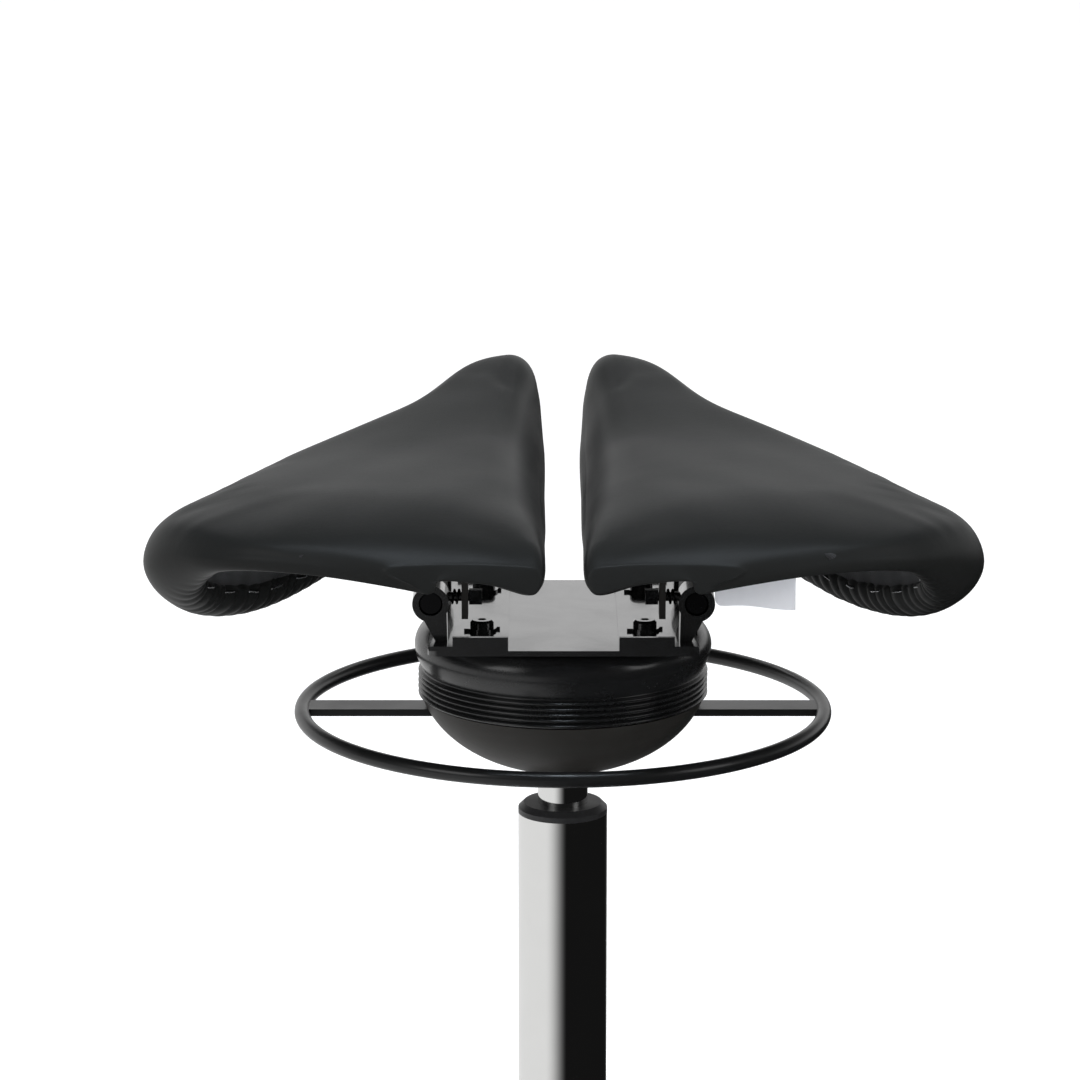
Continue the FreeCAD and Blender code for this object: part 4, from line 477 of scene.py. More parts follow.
def outline(y, density):
    """(x, z) points of the cross-section at y, closed, in mm above the handle."""
    at = station_at(y)
    counts = {name: count * density for name, count in PARTS}
    edge = at["edge"]
    rounding = min(LOW_ROUND, (at["top"] - at["low_in"] - edge) * 0.9)
    high = np.array((at["side"] + edge, at["top"] - edge))
    low = np.array((at["side"] + rounding, at["low_in"] + rounding))
    shoulder = np.array((at["outer"] - at["shoulder"], at["outer_z"]))
    roll_centre = np.array((at["roll_x"], at["roll_z"]))
    roll = at["roll"]
    across, down = at["outer"] - at["roll_x"], at["outer_z"] - at["roll_z"]
    flank = (across ** 2 + down ** 2 - roll ** 2) / (2 * (across - roll))
    flank_centre = np.array((at["outer"] - flank, at["outer_z"]))
    meeting = roll_centre - flank_centre
    flank_angle = math.degrees(math.atan2(meeting[1], meeting[0]))
    hollow = at["low_out"] - at["roll_z"]
    hollow_centre = np.array((at["roll_x"] - roll - hollow, at["roll_z"]))
    top_start = high + (0, edge)
    turn = math.radians(90 - at["fall"])
    top_end = shoulder + at["shoulder"] * np.array((math.cos(turn), math.sin(turn)))
    share = np.linspace(0, 1, counts["top"], endpoint=False)[:, None]
    chord = top_end - top_start
    sag = np.linalg.norm(chord) / 2 * math.tan(math.radians(at["fall"] / 4))
    side = np.array((-chord[1], chord[0])) / np.linalg.norm(chord)
    top = top_start + chord * share + side * sag * 4 * share * (1 - share)
    under_start = hollow_centre + (0, hollow)
    under_end = np.array((low[0], at["low_in"]))
    return np.concatenate([
        line_points((at["side"], low[1]), (at["side"], high[1]), counts["inner"]),
        arc_points(high, edge, 180, 90, counts["inner_top"]),
        top,
        arc_points(shoulder, at["shoulder"], 90 - at["fall"], 0, counts["shoulder"]),
        arc_points(flank_centre, flank, 0, flank_angle, counts["flank"]),
        arc_points(roll_centre, roll, flank_angle, -180, counts["roll"]),
        arc_points(hollow_centre, hollow, 0, 90, counts["hollow"]),
        line_points(under_start, under_end, counts["under"]),
        arc_points(low, rounding, 270, 180, counts["inner_low"]),
    ])


def part_start(name, density=1):
    """Index of the outline's first point of a part."""
    names = [part for part, _ in PARTS]
    return sum(count for _, count in PARTS[:names.index(name)]) * density


def ring_places(*runs):
    """y of each ring, from (start, end, step) runs."""
    places = [np.arange(low, high - step * 0.5, step) for low, high, step in runs]
    return np.concatenate(places + [np.array([runs[-1][1]])])


# The rear lip hangs in a small lobe, with a dip beside it.
LOBE_HEIGHT = 3.6
DIP_DEPTH, DIP_X, DIP_WIDTH = 2.4, 88, 11


def shape_grid(places, density):
    """Rings of points of the right half, (rings, points, 3) in mm, with the rear lip's lobe."""
    grid = np.zeros((len(places), sum(count for _, count in PARTS) * density, 3))
    for ring, y in enumerate(places):
        points = outline(y, density)
        grid[ring, :, 0] = points[:, 0]
        grid[ring, :, 1] = y
        grid[ring, :, 2] = points[:, 1]
    under = slice(part_start("hollow", density), part_start("inner_low", density) + 4 * density)
    x = grid[:, under, 0]
    rear = ease(-grid[:, under, 1], 120, 160)
    lobe = LOBE_HEIGHT * ease(x, 14, 40) * (1 - ease(x, 56, 84))
    dip = DIP_DEPTH * np.exp(-((x - DIP_X) / DIP_WIDTH) ** 2)
    grid[:, under, 2] += rear * (lobe - dip)
    return grid


def normals_of(grid, closed=True):
    """Outward unit normals of a grid whose rings run round the section, or along a part of it."""
    if closed:
        around = np.roll(grid, -1, 1) - np.roll(grid, 1, 1)
    else:
        around = np.gradient(grid, axis=1)
    along = np.gradient(grid, axis=0)
    normal = np.cross(around, along)
    normal /= np.maximum(np.linalg.norm(normal, axis=2, keepdims=True), 1e-9)
    return normal


def grid_faces(rings, around, closed=True):
    """Faces between neighbouring rings of points, or rows of points where they aren't closed."""
    faces = []
    last = around if closed else around - 1
    for ring in range(rings - 1):
        for k in range(last):
            here, there = ring * around, (ring + 1) * around
            after = (k + 1) % around
            faces.append((here + k, here + after, there + after, there + k))
    return faces


CAP_DEPTH = 1.2
CAP_STEPS = 8


def capped(grid):
    """Adds shrinking rings that round both ends off."""
    first, last = [], []
    for end, store, way in ((0, first, -1.0), (-1, last, 1.0)):
        ring = grid[end]
        after = np.roll(ring, -1, 0) - np.roll(ring, 1, 0)
        inward = np.stack([-after[:, 2], np.zeros(len(ring)), after[:, 0]], 1)
        inward /= np.maximum(np.linalg.norm(inward, axis=1, keepdims=True), 1e-9)
        middle = ring.mean(0)
        if np.sum((middle - ring) * inward) < 0:
            inward = -inward
        for step in range(1, CAP_STEPS + 1):
            turn = math.radians(90 * step / CAP_STEPS)
            moved = ring + inward * CAP_DEPTH * (1 - math.cos(turn))
            moved[:, 1] += way * CAP_DEPTH * math.sin(turn)
            store.append(moved)
    rows = [r[None] for r in reversed(first)] + [grid] + [r[None] for r in last]
    return np.concatenate(rows, 0)


def seat_mesh(name, points, faces, look, mirror):
    """Object from points of the right half in mm above the handle, mirrored for the left half."""
    points = np.reshape(points, (-1, 3)) * MM + (0, 0, HANDLE_Z * MM)
    if mirror:
        points = points * (-1, 1, 1)
        faces = [face[::-1] for face in faces]
    return make_mesh(name, points, faces, look)


def closed_mesh(name, grid, look, mirror):
    """Object of a tube of rings whose two ends are filled."""
    rings, around = grid.shape[:2]
    faces = grid_faces(rings, around)
    half = around // 2
    for base, flip in ((0, True), ((rings - 1) * around, False)):
        for k in range(half - 1):
            face = (base + k, base + k + 1, base + around - 2 - k, base + around - 1 - k)
            faces.append(face[::-1] if flip else face)
    return seat_mesh(name, grid, faces, look, mirror)


# The pad's cloth: it starts PAD_INSET mm inside the drawn cover and moves PAD_TRAVEL mm at most.
# Its moves are smoothed PAD_PASSES times, and the drawn outer edge keeps its place by EDGE_KEPT.
PAD_INSET = 2.2
PAD_TRAVEL = 6.0
PAD_FRAMES = 20
PAD_PASSES = 2
EDGE_KEPT = 0.9
PAD_CLOTH = {
    "quality": 6,
    "mass": 0.35,
    "tension_stiffness": 12,
    "compression_stiffness": 12,
    "shear_stiffness": 5,
    "bending_stiffness": 2.5,
    "air_damping": 4,
    "use_pressure": True,
    "uniform_pressure_force": 3.5,
    "vertex_group_mass": "held",
}
LEAST_WEIGHT = 0.001


def hold(thing, name, weights):
    """Adds a vertex group of the weights above LEAST_WEIGHT."""
    group = thing.vertex_groups.new(name=name)
    for index, weight in enumerate(weights):
        if weight > LEAST_WEIGHT:
            group.add([index], float(weight), "REPLACE")


def simulate_pad(grid):
    """Moves of the pad's cover when cloth pressure swells it and its turned-under edge is held."""
    start = grid - normals_of(grid) * PAD_INSET * free_share(grid)[..., None]
    pad = closed_mesh("pad_cloth", start, "leather", False)
    hold(pad, "held", 1 - free_share(grid).reshape(-1))
    cloth = pad.modifiers.new("cloth", "CLOTH")
    for name, value in PAD_CLOTH.items():
        setattr(cloth.settings, name, value)
    cloth.settings.effector_weights.gravity = 0
    cloth.collision_settings.use_collision = False
    scene = bpy.context.scene
    scene.frame_start, scene.frame_end = 1, PAD_FRAMES
    cloth.point_cache.frame_start, cloth.point_cache.frame_end = 1, PAD_FRAMES
    for step in range(1, PAD_FRAMES + 1):
        scene.frame_set(step)
    graph = bpy.context.evaluated_depsgraph_get()
    swollen = pad.evaluated_get(graph).to_mesh()
    places = np.zeros(len(swollen.vertices) * 3)
    swollen.vertices.foreach_get("co", places)
    pad.evaluated_get(graph).to_mesh_clear()
    bpy.data.objects.remove(pad)
    scene.frame_set(1)
    places = (places.reshape(grid.shape) - (0, 0, HANDLE_Z * MM)) / MM
    moves = places - start
    length = np.linalg.norm(moves, axis=2, keepdims=True)
    moves *= np.minimum(1, PAD_TRAVEL / np.maximum(length, 1e-6))
    return start + moves - grid


def free_share(grid):
    """1 where the cover may swell, 0 where it is stapled down under the seat."""
    around = grid.shape[1]
    density = around // sum(count for _, count in PARTS)
    index = np.arange(around)
    edge = part_start("roll", density) + 5 * density
    back = part_start("inner_low", density) + 3 * density
    share = 1 - ease(index, edge - 6 * density, edge) + ease(index, back, back + 5 * density)
    ends = ease(grid[:, 0, 1], -170, -160) * (1 - ease(grid[:, 0, 1], 190, 202))
    return share[None, :] * ends[:, None]


def smoothed(field, passes):
    """Field of moves, averaged with its neighbours round and along the pad."""
    for _ in range(passes):
        around = (np.roll(field, 1, 1) + np.roll(field, -1, 1)) / 2
        padded = np.concatenate([field[:1], field, field[-1:]], 0)
        along = (padded[:-2] + padded[2:]) / 2
        field = field * 0.5 + around * 0.25 + along * 0.25
    return field


def resampled(field, from_places, to_places, density):
    """Field of moves on the coarse grid, read at the fine grid's points."""
    rings = np.interp(to_places, from_places, np.arange(len(from_places)))
    low = np.minimum(rings.astype(int), len(from_places) - 2)
    share = (rings - low)[:, None, None]
    rows = field[low] * (1 - share) + field[low + 1] * share
    wide = np.concatenate([rows, rows[:, :1]], 1)
    index = np.arange(field.shape[1] * density) / density
    base = index.astype(int)
    part = (index - base)[None, :, None]
    return wide[:, base] * (1 - part) + wide[:, base + 1] * part


# Rings of the cloth's grid, and of the mesh's grid, which also has more points in a ring.
COARSE = ring_places((-170, -150, 2.5), (-150, 190, 5), (190, 203, 2.6))
FINE = ring_places((-170, -160, 0.6), (-160, -145, 1.0), (-145, 70, 1.25), (70, 170, 2.5),
                   (170, 203, 1.5))
FINE_DENSITY = 2


SOFT_PASSES = 18
SOFT_LEAST = 0.25


def softened(grid):
    """The grid with its ridges eased, most at the rear corner and the nose, and not on the hem."""
    y = grid[:, 0, 1]
    ends = np.maximum(1 - ease(y, -95, -40), ease(y, 120, 165))
    ends = SOFT_LEAST + (1 - SOFT_LEAST) * ends
    index = np.arange(grid.shape[1])
    end = part_start("flank")
    above = 1 - ease(index, end - 3, end + 3)
    above = np.maximum(above, ease(index, part_start("inner_low") + 2, part_start("inner_low") + 8))
    share = (ends[:, None] * above[None, :])[..., None]
    soft = smoothed(grid, SOFT_PASSES)
    return grid + (soft - grid) * share


def pad_moves():
    """How the stuffed cover departs from the drawn shape, on the coarse grid."""
    grid = shape_grid(COARSE, 1)
    index = np.arange(grid.shape[1])
    kept = ease(index, part_start("shoulder") + 3, part_start("flank") + 1)
    kept = kept * (1 - ease(index, part_start("under"), part_start("inner_low")))
    moves = smoothed(simulate_pad(grid), PAD_PASSES) * (1 - EDGE_KEPT * kept)[None, :, None]
    return softened(grid + moves) - grid


def roll_lengths(grid, density):
    """Length along the rolled edge at each ring."""
    middle = grid[:, part_start("roll", density) + 7 * density]
    steps = np.linalg.norm(np.diff(middle, axis=0), axis=1)
    return np.concatenate([[0], np.cumsum(steps)])


# Pleats along the hem, in mm: the least width, how much wider one may be, and how far it leans.
PLEAT_LEAST, PLEAT_SPREAD, PLEAT_LEAN = 6.5, 6.0, 5.0
PLEAT_HEIGHT = 1.9


def pleat_heights(lengths, slants, salt):
    """Height from -1 to 1 of gathered pleats, for lengths along the edge and slants across it."""
    edges = [0.0]
    while edges[-1] < lengths.max() + 40:
        edges.append(edges[-1] + PLEAT_LEAST + PLEAT_SPREAD * hashed(len(edges), salt))
    edges = np.array(edges)
    leans = np.array([hashed(k, salt + 5) - 0.5 for k in range(len(edges))])
    depths = np.array([0.55 + 0.45 * hashed(k, salt + 9) for k in range(len(edges))])
    lean = PLEAT_LEAN * np.interp(lengths, edges, leans)
    at = lengths[:, None] + slants[None, :] * lean[:, None]
    index = np.clip(np.searchsorted(edges, at) - 1, 0, len(edges) - 2)
    share = (at - edges[index]) / (edges[index + 1] - edges[index])
    bulge = np.sin(np.pi * np.clip(share, 0, 1)) ** 0.6
    return (bulge - 0.62) * depths[index]


def gather_hem(grid, density, salt):
    """Adds the gathered pleats where the cover turns under the outer edge."""
    normal = normals_of(grid)
    index = np.arange(grid.shape[1])
    start = part_start("flank", density) + 6 * density
    edge = part_start("hollow", density)
    across = np.clip((index - start) / (edge - start), 0, 1)
    profile = ease(across, 0.0, 0.7) * (1 - ease(index, edge - density, edge + 2 * density))
    y = grid[:, 0, 1]
    along = ease(y, -158, -135) * (1 - 0.75 * ease(y, 20, 110)) * (1 - ease(y, 150, 190))
    heights = pleat_heights(roll_lengths(grid, density), across, salt)
    heights = heights * along[:, None] * profile[None, :] * PLEAT_HEIGHT
    return grid + normal * heights[..., None]


# Pull lines fan out from a corner at (x, y). Heights in mm.
PULL_COUNT = 6
PULL_HEIGHT = 0.35
PULL_CORNER = (228, -128)
WANDER_HEIGHT = 0.22


def pull_lines(grid, salt):
    """Shallow lines where the cover is pulled to its rear outer corner, and a slight unevenness."""
    normal = normals_of(grid)
    x, y = grid[..., 0], grid[..., 1]
    dx, dy = x - PULL_CORNER[0], y - PULL_CORNER[1]
    lift = np.zeros_like(x)
    for k in range(PULL_COUNT):
        angle = math.radians(25 + 22 * k + 10 * hashed(k, salt))
        reach = 70 + 60 * hashed(k, salt + 2)
        along = -dx * math.cos(angle) + dy * math.sin(angle)
        across = dx * math.sin(angle) + dy * math.cos(angle)
        width = 5 + 0.05 * np.maximum(along, 0)
        fade = ease(along, 15, 45) * (1 - ease(along, reach * 0.6, reach))
        lift += PULL_HEIGHT * np.exp(-(across / width) ** 2) * fade
    wander = np.sin(x * 0.051 + salt) * np.sin(y * 0.043 + salt * 2)
    wander = wander + 0.6 * np.sin(x * 0.11 + y * 0.07 + salt)
    upper = ease(normal[..., 2], 0.2, 0.8)
    return grid + normal * ((lift + WANDER_HEIGHT * wander) * upper)[..., None]


HEM_STEP = 2.4


def tuck_under(grid, density):
    """Raises the underside inside the hem by HEM_STEP, so that the lining lies below it."""
    index = np.arange(grid.shape[1])
    start = part_start("hollow", density) + 1
    end = part_start("inner_low", density) - 3 * density
    inside = ((index >= start) & (index <= end)).astype(float)
    y = grid[:, 0, 1]
    along = ((y > -152) & (y < 172)).astype(float)
    return grid - normals_of(grid) * (inside[None, :] * along[:, None] * HEM_STEP)[..., None]


LIP_PASSES = 40
LIP_FACTOR = 0.6


def smooth_rear_lip(cushion):
    """Eases the folded end of the cover under the rear edge."""
    places = np.array([vertex.co for vertex in cushion.data.vertices]) / MM
    rear = 1 - ease(places[:, 1], -158, -146)
    hold(cushion, "rear", rear * (1 - ease(abs(places[:, 0]), 125, 150)))
    smooth = cushion.modifiers.new("lip", "SMOOTH")
    smooth.factor = LIP_FACTOR
    smooth.iterations = LIP_PASSES
    smooth.vertex_group = "rear"
    apply_modifiers(cushion)


def make_cushion(side, sign, moves, salt):
    """Leather cushion of one half. Returns its grid with and without the gathered hem."""
    density = FINE_DENSITY
    grid = shape_grid(FINE, density)
    grid = grid + resampled(moves, COARSE, FINE, density)
    grid = pull_lines(grid, salt)
    hemmed = gather_hem(grid, density, salt)
    full = capped(tuck_under(hemmed, density))
    cushion = closed_mesh("cushion_" + side, full, "leather", sign < 0)
    smooth_rear_lip(cushion)
    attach(cushion, "seat_" + side)
    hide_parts("seat_cover_" + side, "seat_foam_" + side)
    return hemmed, grid


LINING_RISE = 1.2
LINING_WRINKLE = 0.35


def thicken(thing, thickness, offset):
    """Gives an open sheet a thickness in mm."""
    modifier = thing.modifiers.new("thickness", "SOLIDIFY")
    modifier.thickness = thickness * MM
    modifier.offset = offset
    apply_modifiers(thing)


def make_lining(side, sign, grid, salt):
    """Dark fabric over the shell's underside, tucked under the hem."""
    density = FINE_DENSITY
    start = part_start("hollow", density) - 1
    end = part_start("inner_low", density) - 2 * density
    rows = np.where((grid[:, 0, 1] > -155) & (grid[:, 0, 1] < 175))[0]
    sheet = (grid - normals_of(grid) * LINING_RISE)[rows][:, start:end]
    x, y = sheet[..., 0], sheet[..., 1]
    wrinkle = np.sin(y * 0.35 + salt) * np.sin(x * 0.22 + salt) * LINING_WRINKLE
    wrinkle = wrinkle * ease(x, 105, 125)
    sheet = sheet + normals_of(sheet, closed=False) * wrinkle[..., None]
    faces = grid_faces(*sheet.shape[:2], closed=False)
    lining = seat_mesh("seat_lining_" + side, sheet, faces, "lining", sign < 0)
    thicken(lining, 0.7, -1)
    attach(lining, "seat_" + side)
    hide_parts("seat_shell_" + side)


def wire_skin(path, radius, sides):
    """Points and faces of a round wire along a path of points, with closed ends."""
    tangent = np.gradient(path, axis=0)
    tangent /= np.linalg.norm(tangent, axis=1, keepdims=True)
    points, faces = [], []
    up = np.array((0.0, 0.0, 1.0)) if abs(tangent[0][2]) < 0.9 else np.array((1.0, 0.0, 0.0))
    for here, along in zip(path, tangent):
        across = np.cross(along, up)
        across /= np.linalg.norm(across)
        up = np.cross(across, along)
        for k in range(sides):
            turn = 2 * math.pi * k / sides
            points.append(here + radius * (across * math.cos(turn) + up * math.sin(turn)))
    for ring in range(len(path) - 1):
        for k in range(sides):
            a, b = ring * sides, (ring + 1) * sides
            after = (k + 1) % sides
            faces.append((a + k, b + k, b + after, a + after))
    faces.append(tuple(range(sides)))
    faces.append(tuple((len(path) - 1) * sides + k for k in reversed(range(sides))))
    return points, faces


# Staples: spacing along the roll (closer for the first ones, at the rear), and sizes in mm.
STAPLE_FIRST, STAPLE_CLOSE, STAPLE_PITCH, STAPLE_END = 34.0, 15.0, 24.0, 30
STAPLE_CLOSE_COUNT = 9
STAPLED_REAR, STAPLED_FRONT = -134, 165
STAPLE_HALF = 4.6
STAPLE_LEG = 0.9
STAPLE_RISE = 0.5
STAPLE_WIRE = 0.42


def make_staples(side, sign, grid):
    """Steel staples that hold the hem to the shell along the roll."""
    density = FINE_DENSITY
    column = part_start("hollow", density) - 2
    hem, normals = grid[:, column], normals_of(grid)[:, column]
    lengths = roll_lengths(grid, density)
    shares = np.linspace(-1, 1, 7)[:, None]
    legs = np.where(abs(shares) > 0.95, -STAPLE_LEG, 0.0)
    points, faces = [], []
    spot, count = STAPLE_FIRST, 0
    while spot < lengths[-1] - STAPLE_END:
        ring = int(np.searchsorted(lengths, spot))
        if STAPLED_REAR < hem[ring, 1] < STAPLED_FRONT:
            normal = normals[ring]
            along = hem[ring + 2] - hem[ring - 2]
            along /= np.linalg.norm(along)
            tilt = 0.5 * (hashed(count, sign) - 0.5)
            along = along + np.cross(normal, along) * tilt
            along /= np.linalg.norm(along)
            path = hem[ring] + normal * STAPLE_RISE + along * shares * STAPLE_HALF + normal * legs
            wire, skin = wire_skin(path, STAPLE_WIRE, 6)
            faces += [tuple(i + len(points) for i in face) for face in skin]
            points += wire
        spot += STAPLE_CLOSE if count < STAPLE_CLOSE_COUNT else STAPLE_PITCH
        count += 1
    staples = seat_mesh("hem_staples_" + side, points, faces, "steel", sign < 0)
    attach(staples, "seat_" + side)


def make_seat():
    """Both halves' cushion, lining and staples. The salt makes their creases differ."""
    moves = pad_moves()
    for side, sign in SIDES:
        salt = 1.0 if sign < 0 else 2.3
        hemmed, plain = make_cushion(side, sign, moves, salt)
        make_lining(side, sign, plain, salt)
        make_staples(side, sign, hemmed)


make_seat()


# Fabric tag under the right half's rear edge, in mm with heights above the handle.
TAG_LEFT, TAG_RIGHT, TAG_TOP, TAG_LOW = 78.8, 121.0, 112.0, 94.0
TAG_Y = -147.5
TAG_CORNER = 3.5
TAG_COLUMNS, TAG_ROWS = 44, 20


def make_tag():
    """Bare woven tag that hangs a little askew, with a round lower left corner."""
    wide = TAG_RIGHT - TAG_LEFT
    points = []
    for i in range(TAG_COLUMNS + 1):
        u = i / TAG_COLUMNS
        pull = max(0.0, TAG_CORNER - u * wide)
        lift = TAG_CORNER - math.sqrt(max(0.0, TAG_CORNER ** 2 - pull ** 2))
        foot = TAG_LOW + 1.8 * (1 - u) + 0.8 * math.sin(u * 5.0) + lift
        for j in range(TAG_ROWS + 1):
            v = j / TAG_ROWS
            sway = 0.7 * math.sin(u * 4.2 + 0.6) * v + 0.35 * math.sin(u * 11) * v * v
            z = TAG_TOP - (TAG_TOP - foot) * v
            points.append((TAG_LEFT + wide * u, TAG_Y - 2.2 * v ** 2 - sway, z + HANDLE_Z))
    faces = grid_faces(TAG_COLUMNS + 1, TAG_ROWS + 1, closed=False)
    tag = make_mesh("fabric_tag", np.array(points) * MM, faces, "tag")
    thicken(tag, 0.6, 0)
    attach(tag, "seat_right")
    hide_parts("seat_label")


make_tag()


# Bellows between the bowl's rim and the seat plate, in two pieces that meet at the gimbal's level.
# Sizes are in mm, with heights above the handle.
BELLOWS_RADIUS = 79.4
BELLOWS_INNER = 52.0
BELLOWS_TOP = 51.0
BELLOWS_FOOT = 9.3
BELLOWS_WALL = 1.8
BELLOWS_TURNS = 160
BELLOWS_WOBBLE = 0.10
SHOULDER_RADIUS = 82.7
SHOULDER_ROUND = 13.0
SHOULDER_STEPS = 24
RIBS_TOP = BELLOWS_TOP - 2 * SHOULDER_ROUND
RIB_COUNT = 5
RIB_DEPTH = 2.6
SPLIT_BELOW_RIBS_TOP = 5.8


def bellows_profile():
    """(radius, height) down the outside of the bellows, from the plate to the rim."""
    points = [(BELLOWS_INNER + k * 2.9, BELLOWS_TOP) for k in range(6)]
    centre = (SHOULDER_RADIUS - SHOULDER_ROUND, BELLOWS_TOP - SHOULDER_ROUND)
    for k in range(SHOULDER_STEPS + 1):
        turn = math.radians(90 - 90 * k / SHOULDER_STEPS)
        points.append((centre[0] + SHOULDER_ROUND * math.cos(turn),
                       centre[1] + SHOULDER_ROUND * math.sin(turn)))
    valley = BELLOWS_RADIUS - RIB_DEPTH / 2
    twelfths = [k / 12 for k in range(1, 13)]
    for share in twelfths:
        bulge = math.cos(share * math.pi / 2)
        points.append((valley + (SHOULDER_RADIUS - valley) * bulge,
                       centre[1] + (RIBS_TOP - centre[1]) * share))
    pitch = (RIBS_TOP - BELLOWS_FOOT) / RIB_COUNT
    for rib in range(RIB_COUNT):
        for share in twelfths:
            radius = valley + RIB_DEPTH * math.sin(share * math.pi) ** 0.75
            points.append((radius, RIBS_TOP - pitch * (rib + share)))
    return points


def bellows_shell(name, profile):
    """Closed shell turned round the Z axis from an outer profile, with a wall inside it."""
    outside = np.array(profile)
    slope = np.gradient(outside, axis=0)
    inward = np.stack([slope[:, 1], -slope[:, 0]], 1)
    inward /= np.maximum(np.linalg.norm(inward, axis=1, keepdims=True), 1e-9)
    loop = np.concatenate([outside, (outside + inward * BELLOWS_WALL)[::-1]])
    points = []
    for turn in range(BELLOWS_TURNS):
        angle = 2 * math.pi * turn / BELLOWS_TURNS
        for radius, height in loop:
            lean = math.sin(3 * angle + height * 0.12) * math.sin(height * 0.3)
            reach = radius + BELLOWS_WOBBLE * lean
            points.append((reach * math.cos(angle), reach * math.sin(angle), height + HANDLE_Z))
    faces = grid_faces(BELLOWS_TURNS + 1, len(loop))
    faces = [tuple(index % len(points) for index in face) for face in faces]
    return make_mesh(name, np.array(points) * MM, faces, "bellows_rubber")


def make_bellows():
    profile = bellows_profile()
    level = RIBS_TOP - SPLIT_BELOW_RIBS_TOP
    split = next(k for k, point in enumerate(profile) if point[1] < level)
    upper = bellows_shell("bellows_shoulder", profile[:split + 1])
    lower = bellows_shell("bellows_foot", profile[split:])
    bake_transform(upper)
    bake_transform(lower)
    for piece in (upper, lower):
        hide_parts("bellows")


make_bellows()


# Rubber buffers inside the bellows, in two halves each. Radii are in mm; the waist is a share of
# the radius.
BUFFER_ANGLES = (45, 135, 225, 315)
BUFFER_CIRCLE = 60.0
BUFFER_RADIUS = 9.0
BUFFER_WAIST = 0.8


def buffer_halves(name, low, top, start, end, turns=28, steps=7):
    """Waisted discs round the circle, between the shares start and end of the buffers' height."""
    points, faces = [], []
    for angle in BUFFER_ANGLES:
        x = BUFFER_CIRCLE * math.cos(math.radians(angle))
        y = BUFFER_CIRCLE * math.sin(math.radians(angle))
        base = len(points)
        for step in range(steps + 1):
            share = start + (end - start) * step / steps
            radius = BUFFER_RADIUS * (1 - (1 - BUFFER_WAIST) * 4 * share * (1 - share))
            z = low + (top - low) * share
            for turn in range(turns):
                way = 2 * math.pi * turn / turns
                points.append((x + radius * math.cos(way), y + radius * math.sin(way), z))
        skin = grid_faces(steps + 1, turns)
        skin.append(tuple(reversed(range(turns))))
        skin.append(tuple(steps * turns + turn for turn in range(turns)))
        faces += [tuple(base + index for index in face) for face in skin]
    return make_mesh(name, np.array(points) * MM, faces, "buffer_rubber")


def make_buffers():
    box_low, box_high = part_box("rubber_buffers")
    low, top = box_low[2] / MM, box_high[2] / MM
    foot = buffer_halves("buffer_feet", low, top, 0.0, 0.5)
    head = buffer_halves("buffer_heads", low, top, 0.5, 1.0)
    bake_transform(foot)
    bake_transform(head)
    for piece in (foot, head):
        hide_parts("rubber_buffers")


make_buffers()


# Stage: a pale floor that keeps the shadow, soft lights and a pale studio round them. Each range is
# low, high, start, end: a direction from low to high is as bright as start to end.
FLOOR_SIZE = 30.0
FLOOR_DROP = 0.0003
FLOOR_GLOW = 0.42
MIRRORED_FLOOR = (-0.38, 0.6, 0.008, 0.88)
MIRRORED_BACK_SHARE = 0.2
MIRRORED_WALL = (-0.1, 0.75, 0.05, 0.9)
MIRRORED_WALL_TOP = (0.28, 0.40, 1.0, 0.05)
STUDIO_LIGHT = 0.7


def ramp_node(nodes, links, source, limits):
    node = nodes.new("ShaderNodeMapRange")
    node.interpolation_type = "SMOOTHSTEP"
    set_range(node, *limits)
    links.new(source, node.inputs["Value"])
    return node.outputs["Result"]


def leftward(nodes, links, source, back_share):
    """How far a direction points to the left, with a share of how far it points to the back."""
    steps = (("MULTIPLY", (1, 1, 0), "Vector"), ("NORMALIZE", None, "Vector"),
             ("DOT_PRODUCT", (-1, back_share, 0), "Value"))
    for operation, other, result in steps:
        node = nodes.new("ShaderNodeVectorMath")
        node.operation = operation
        if other:
            node.inputs[1].default_value = other
        links.new(source, node.inputs[0])
        source = node.outputs[result]
    return source


def make_floor():
    """White to the camera. Mirrored in bright parts, it is pale on the left and dark in front."""
    size = FLOOR_SIZE
    corners = [(-size, -size, 0), (size, -size, 0), (size, size, 0), (-size, size, 0)]
    floor = make_mesh("floor", corners, [(0, 1, 2, 3)], "tag")
    floor.location.z = -FLOOR_DROP
    material = bpy.data.materials.new("floor")
    material.use_nodes = True
    nodes, links = material.node_tree.nodes, material.node_tree.links
    shader = nodes["Principled BSDF"]
    shader.inputs["Base Color"].default_value = (0.86, 0.86, 0.86, 1)
    shader.inputs["Roughness"].default_value = 0.9
    shader.inputs["Specular IOR Level"].default_value = 0.1
    path = nodes.new("ShaderNodeLightPath")
    scale = nodes.new("ShaderNodeMath")
    scale.operation = "MULTIPLY"
    scale.inputs[1].default_value = FLOOR_GLOW
    links.new(path.outputs["Is Camera Ray"], scale.inputs[0])
    glow = nodes.new("ShaderNodeEmission")
    links.new(scale.outputs[0], glow.inputs["Strength"])
    both = nodes.new("ShaderNodeAddShader")
    links.new(shader.outputs[0], both.inputs[0])
    links.new(glow.outputs[0], both.inputs[1])
    place = nodes.new("ShaderNodeTexCoord").outputs["Object"]
    side = leftward(nodes, links, place, MIRRORED_BACK_SHARE)
    mirrored = nodes.new("ShaderNodeEmission")
    links.new(ramp_node(nodes, links, side, MIRRORED_FLOOR), mirrored.inputs["Strength"])
    mix = nodes.new("ShaderNodeMixShader")
    links.new(path.outputs["Is Glossy Ray"], mix.inputs[0])
    links.new(both.outputs[0], mix.inputs[1])
    links.new(mirrored.outputs[0], mix.inputs[2])
    links.new(mix.outputs[0], nodes["Material Output"].inputs["Surface"])
    floor.data.materials[0] = material


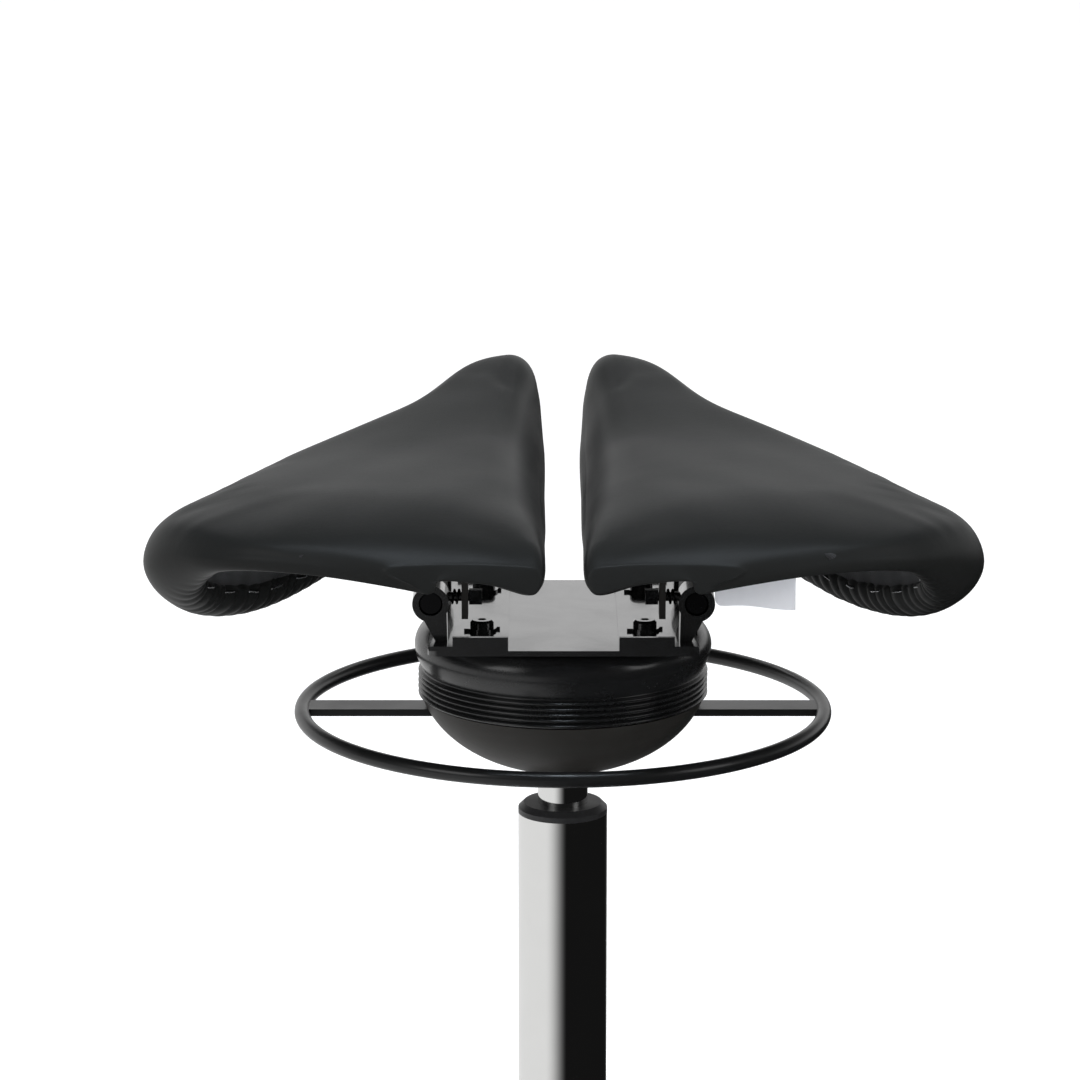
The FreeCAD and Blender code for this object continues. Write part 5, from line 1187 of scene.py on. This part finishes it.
def make_world():
    """White to the camera. Mirrored, it is a pale wall behind the stool, low, and dim elsewhere."""
    world = bpy.data.worlds.new("studio")
    bpy.context.scene.world = world
    world.use_nodes = True
    nodes, links = world.node_tree.nodes, world.node_tree.links
    path = nodes.new("ShaderNodeLightPath")
    place = nodes.new("ShaderNodeTexCoord")
    parts = nodes.new("ShaderNodeSeparateXYZ")
    links.new(place.outputs["Generated"], parts.inputs[0])
    wall = nodes.new("ShaderNodeMath")
    wall.operation = "MULTIPLY"
    links.new(ramp_node(nodes, links, parts.outputs["Y"], MIRRORED_WALL), wall.inputs[0])
    links.new(ramp_node(nodes, links, parts.outputs["Z"], MIRRORED_WALL_TOP), wall.inputs[1])
    glossy = nodes.new("ShaderNodeMix")
    glossy.inputs["A"].default_value = STUDIO_LIGHT
    links.new(path.outputs["Is Glossy Ray"], glossy.inputs["Factor"])
    links.new(wall.outputs[0], glossy.inputs["B"])
    camera = nodes.new("ShaderNodeMix")
    camera.inputs["B"].default_value = 1.0
    links.new(path.outputs["Is Camera Ray"], camera.inputs["Factor"])
    links.new(glossy.outputs["Result"], camera.inputs["A"])
    back = nodes["Background"]
    back.inputs["Color"].default_value = (1, 1, 1, 1)
    links.new(camera.outputs["Result"], back.inputs["Strength"])


def softbox(name, place, target, size, power, colour=(1.0, 1.0, 1.0)):
    """Area light at place, turned towards target. The size is in metres and the power in watts."""
    data = bpy.data.lights.new(name, "AREA")
    data.shape = "RECTANGLE"
    data.size, data.size_y = size
    data.energy = power
    data.color = colour
    light = bpy.data.objects.new(name, data)
    light.location = place
    way = Vector(target) - Vector(place)
    light.rotation_euler = way.to_track_quat("-Z", "Y").to_euler()
    bpy.context.scene.collection.objects.link(light)


make_floor()
make_world()
softbox("back_strip", (0.0, 2.0, 1.78), (0, 0, 0.55), (1.8, 0.2), 3.6)
softbox("top", (0.0, -0.5, 2.5), (0, 0, 0.5), (1.4, 0.4), 30, (0.80, 0.90, 1.0))
softbox("key_left", (-2.2, -1.9, 1.9), (0, 0, 0.45), (1.4, 1.4), 18)
softbox("fill_right", (2.4, -1.2, 1.5), (0, 0, 0.45), (1.0, 1.4), 10)
bpy.context.scene.view_settings.view_transform = "Standard"
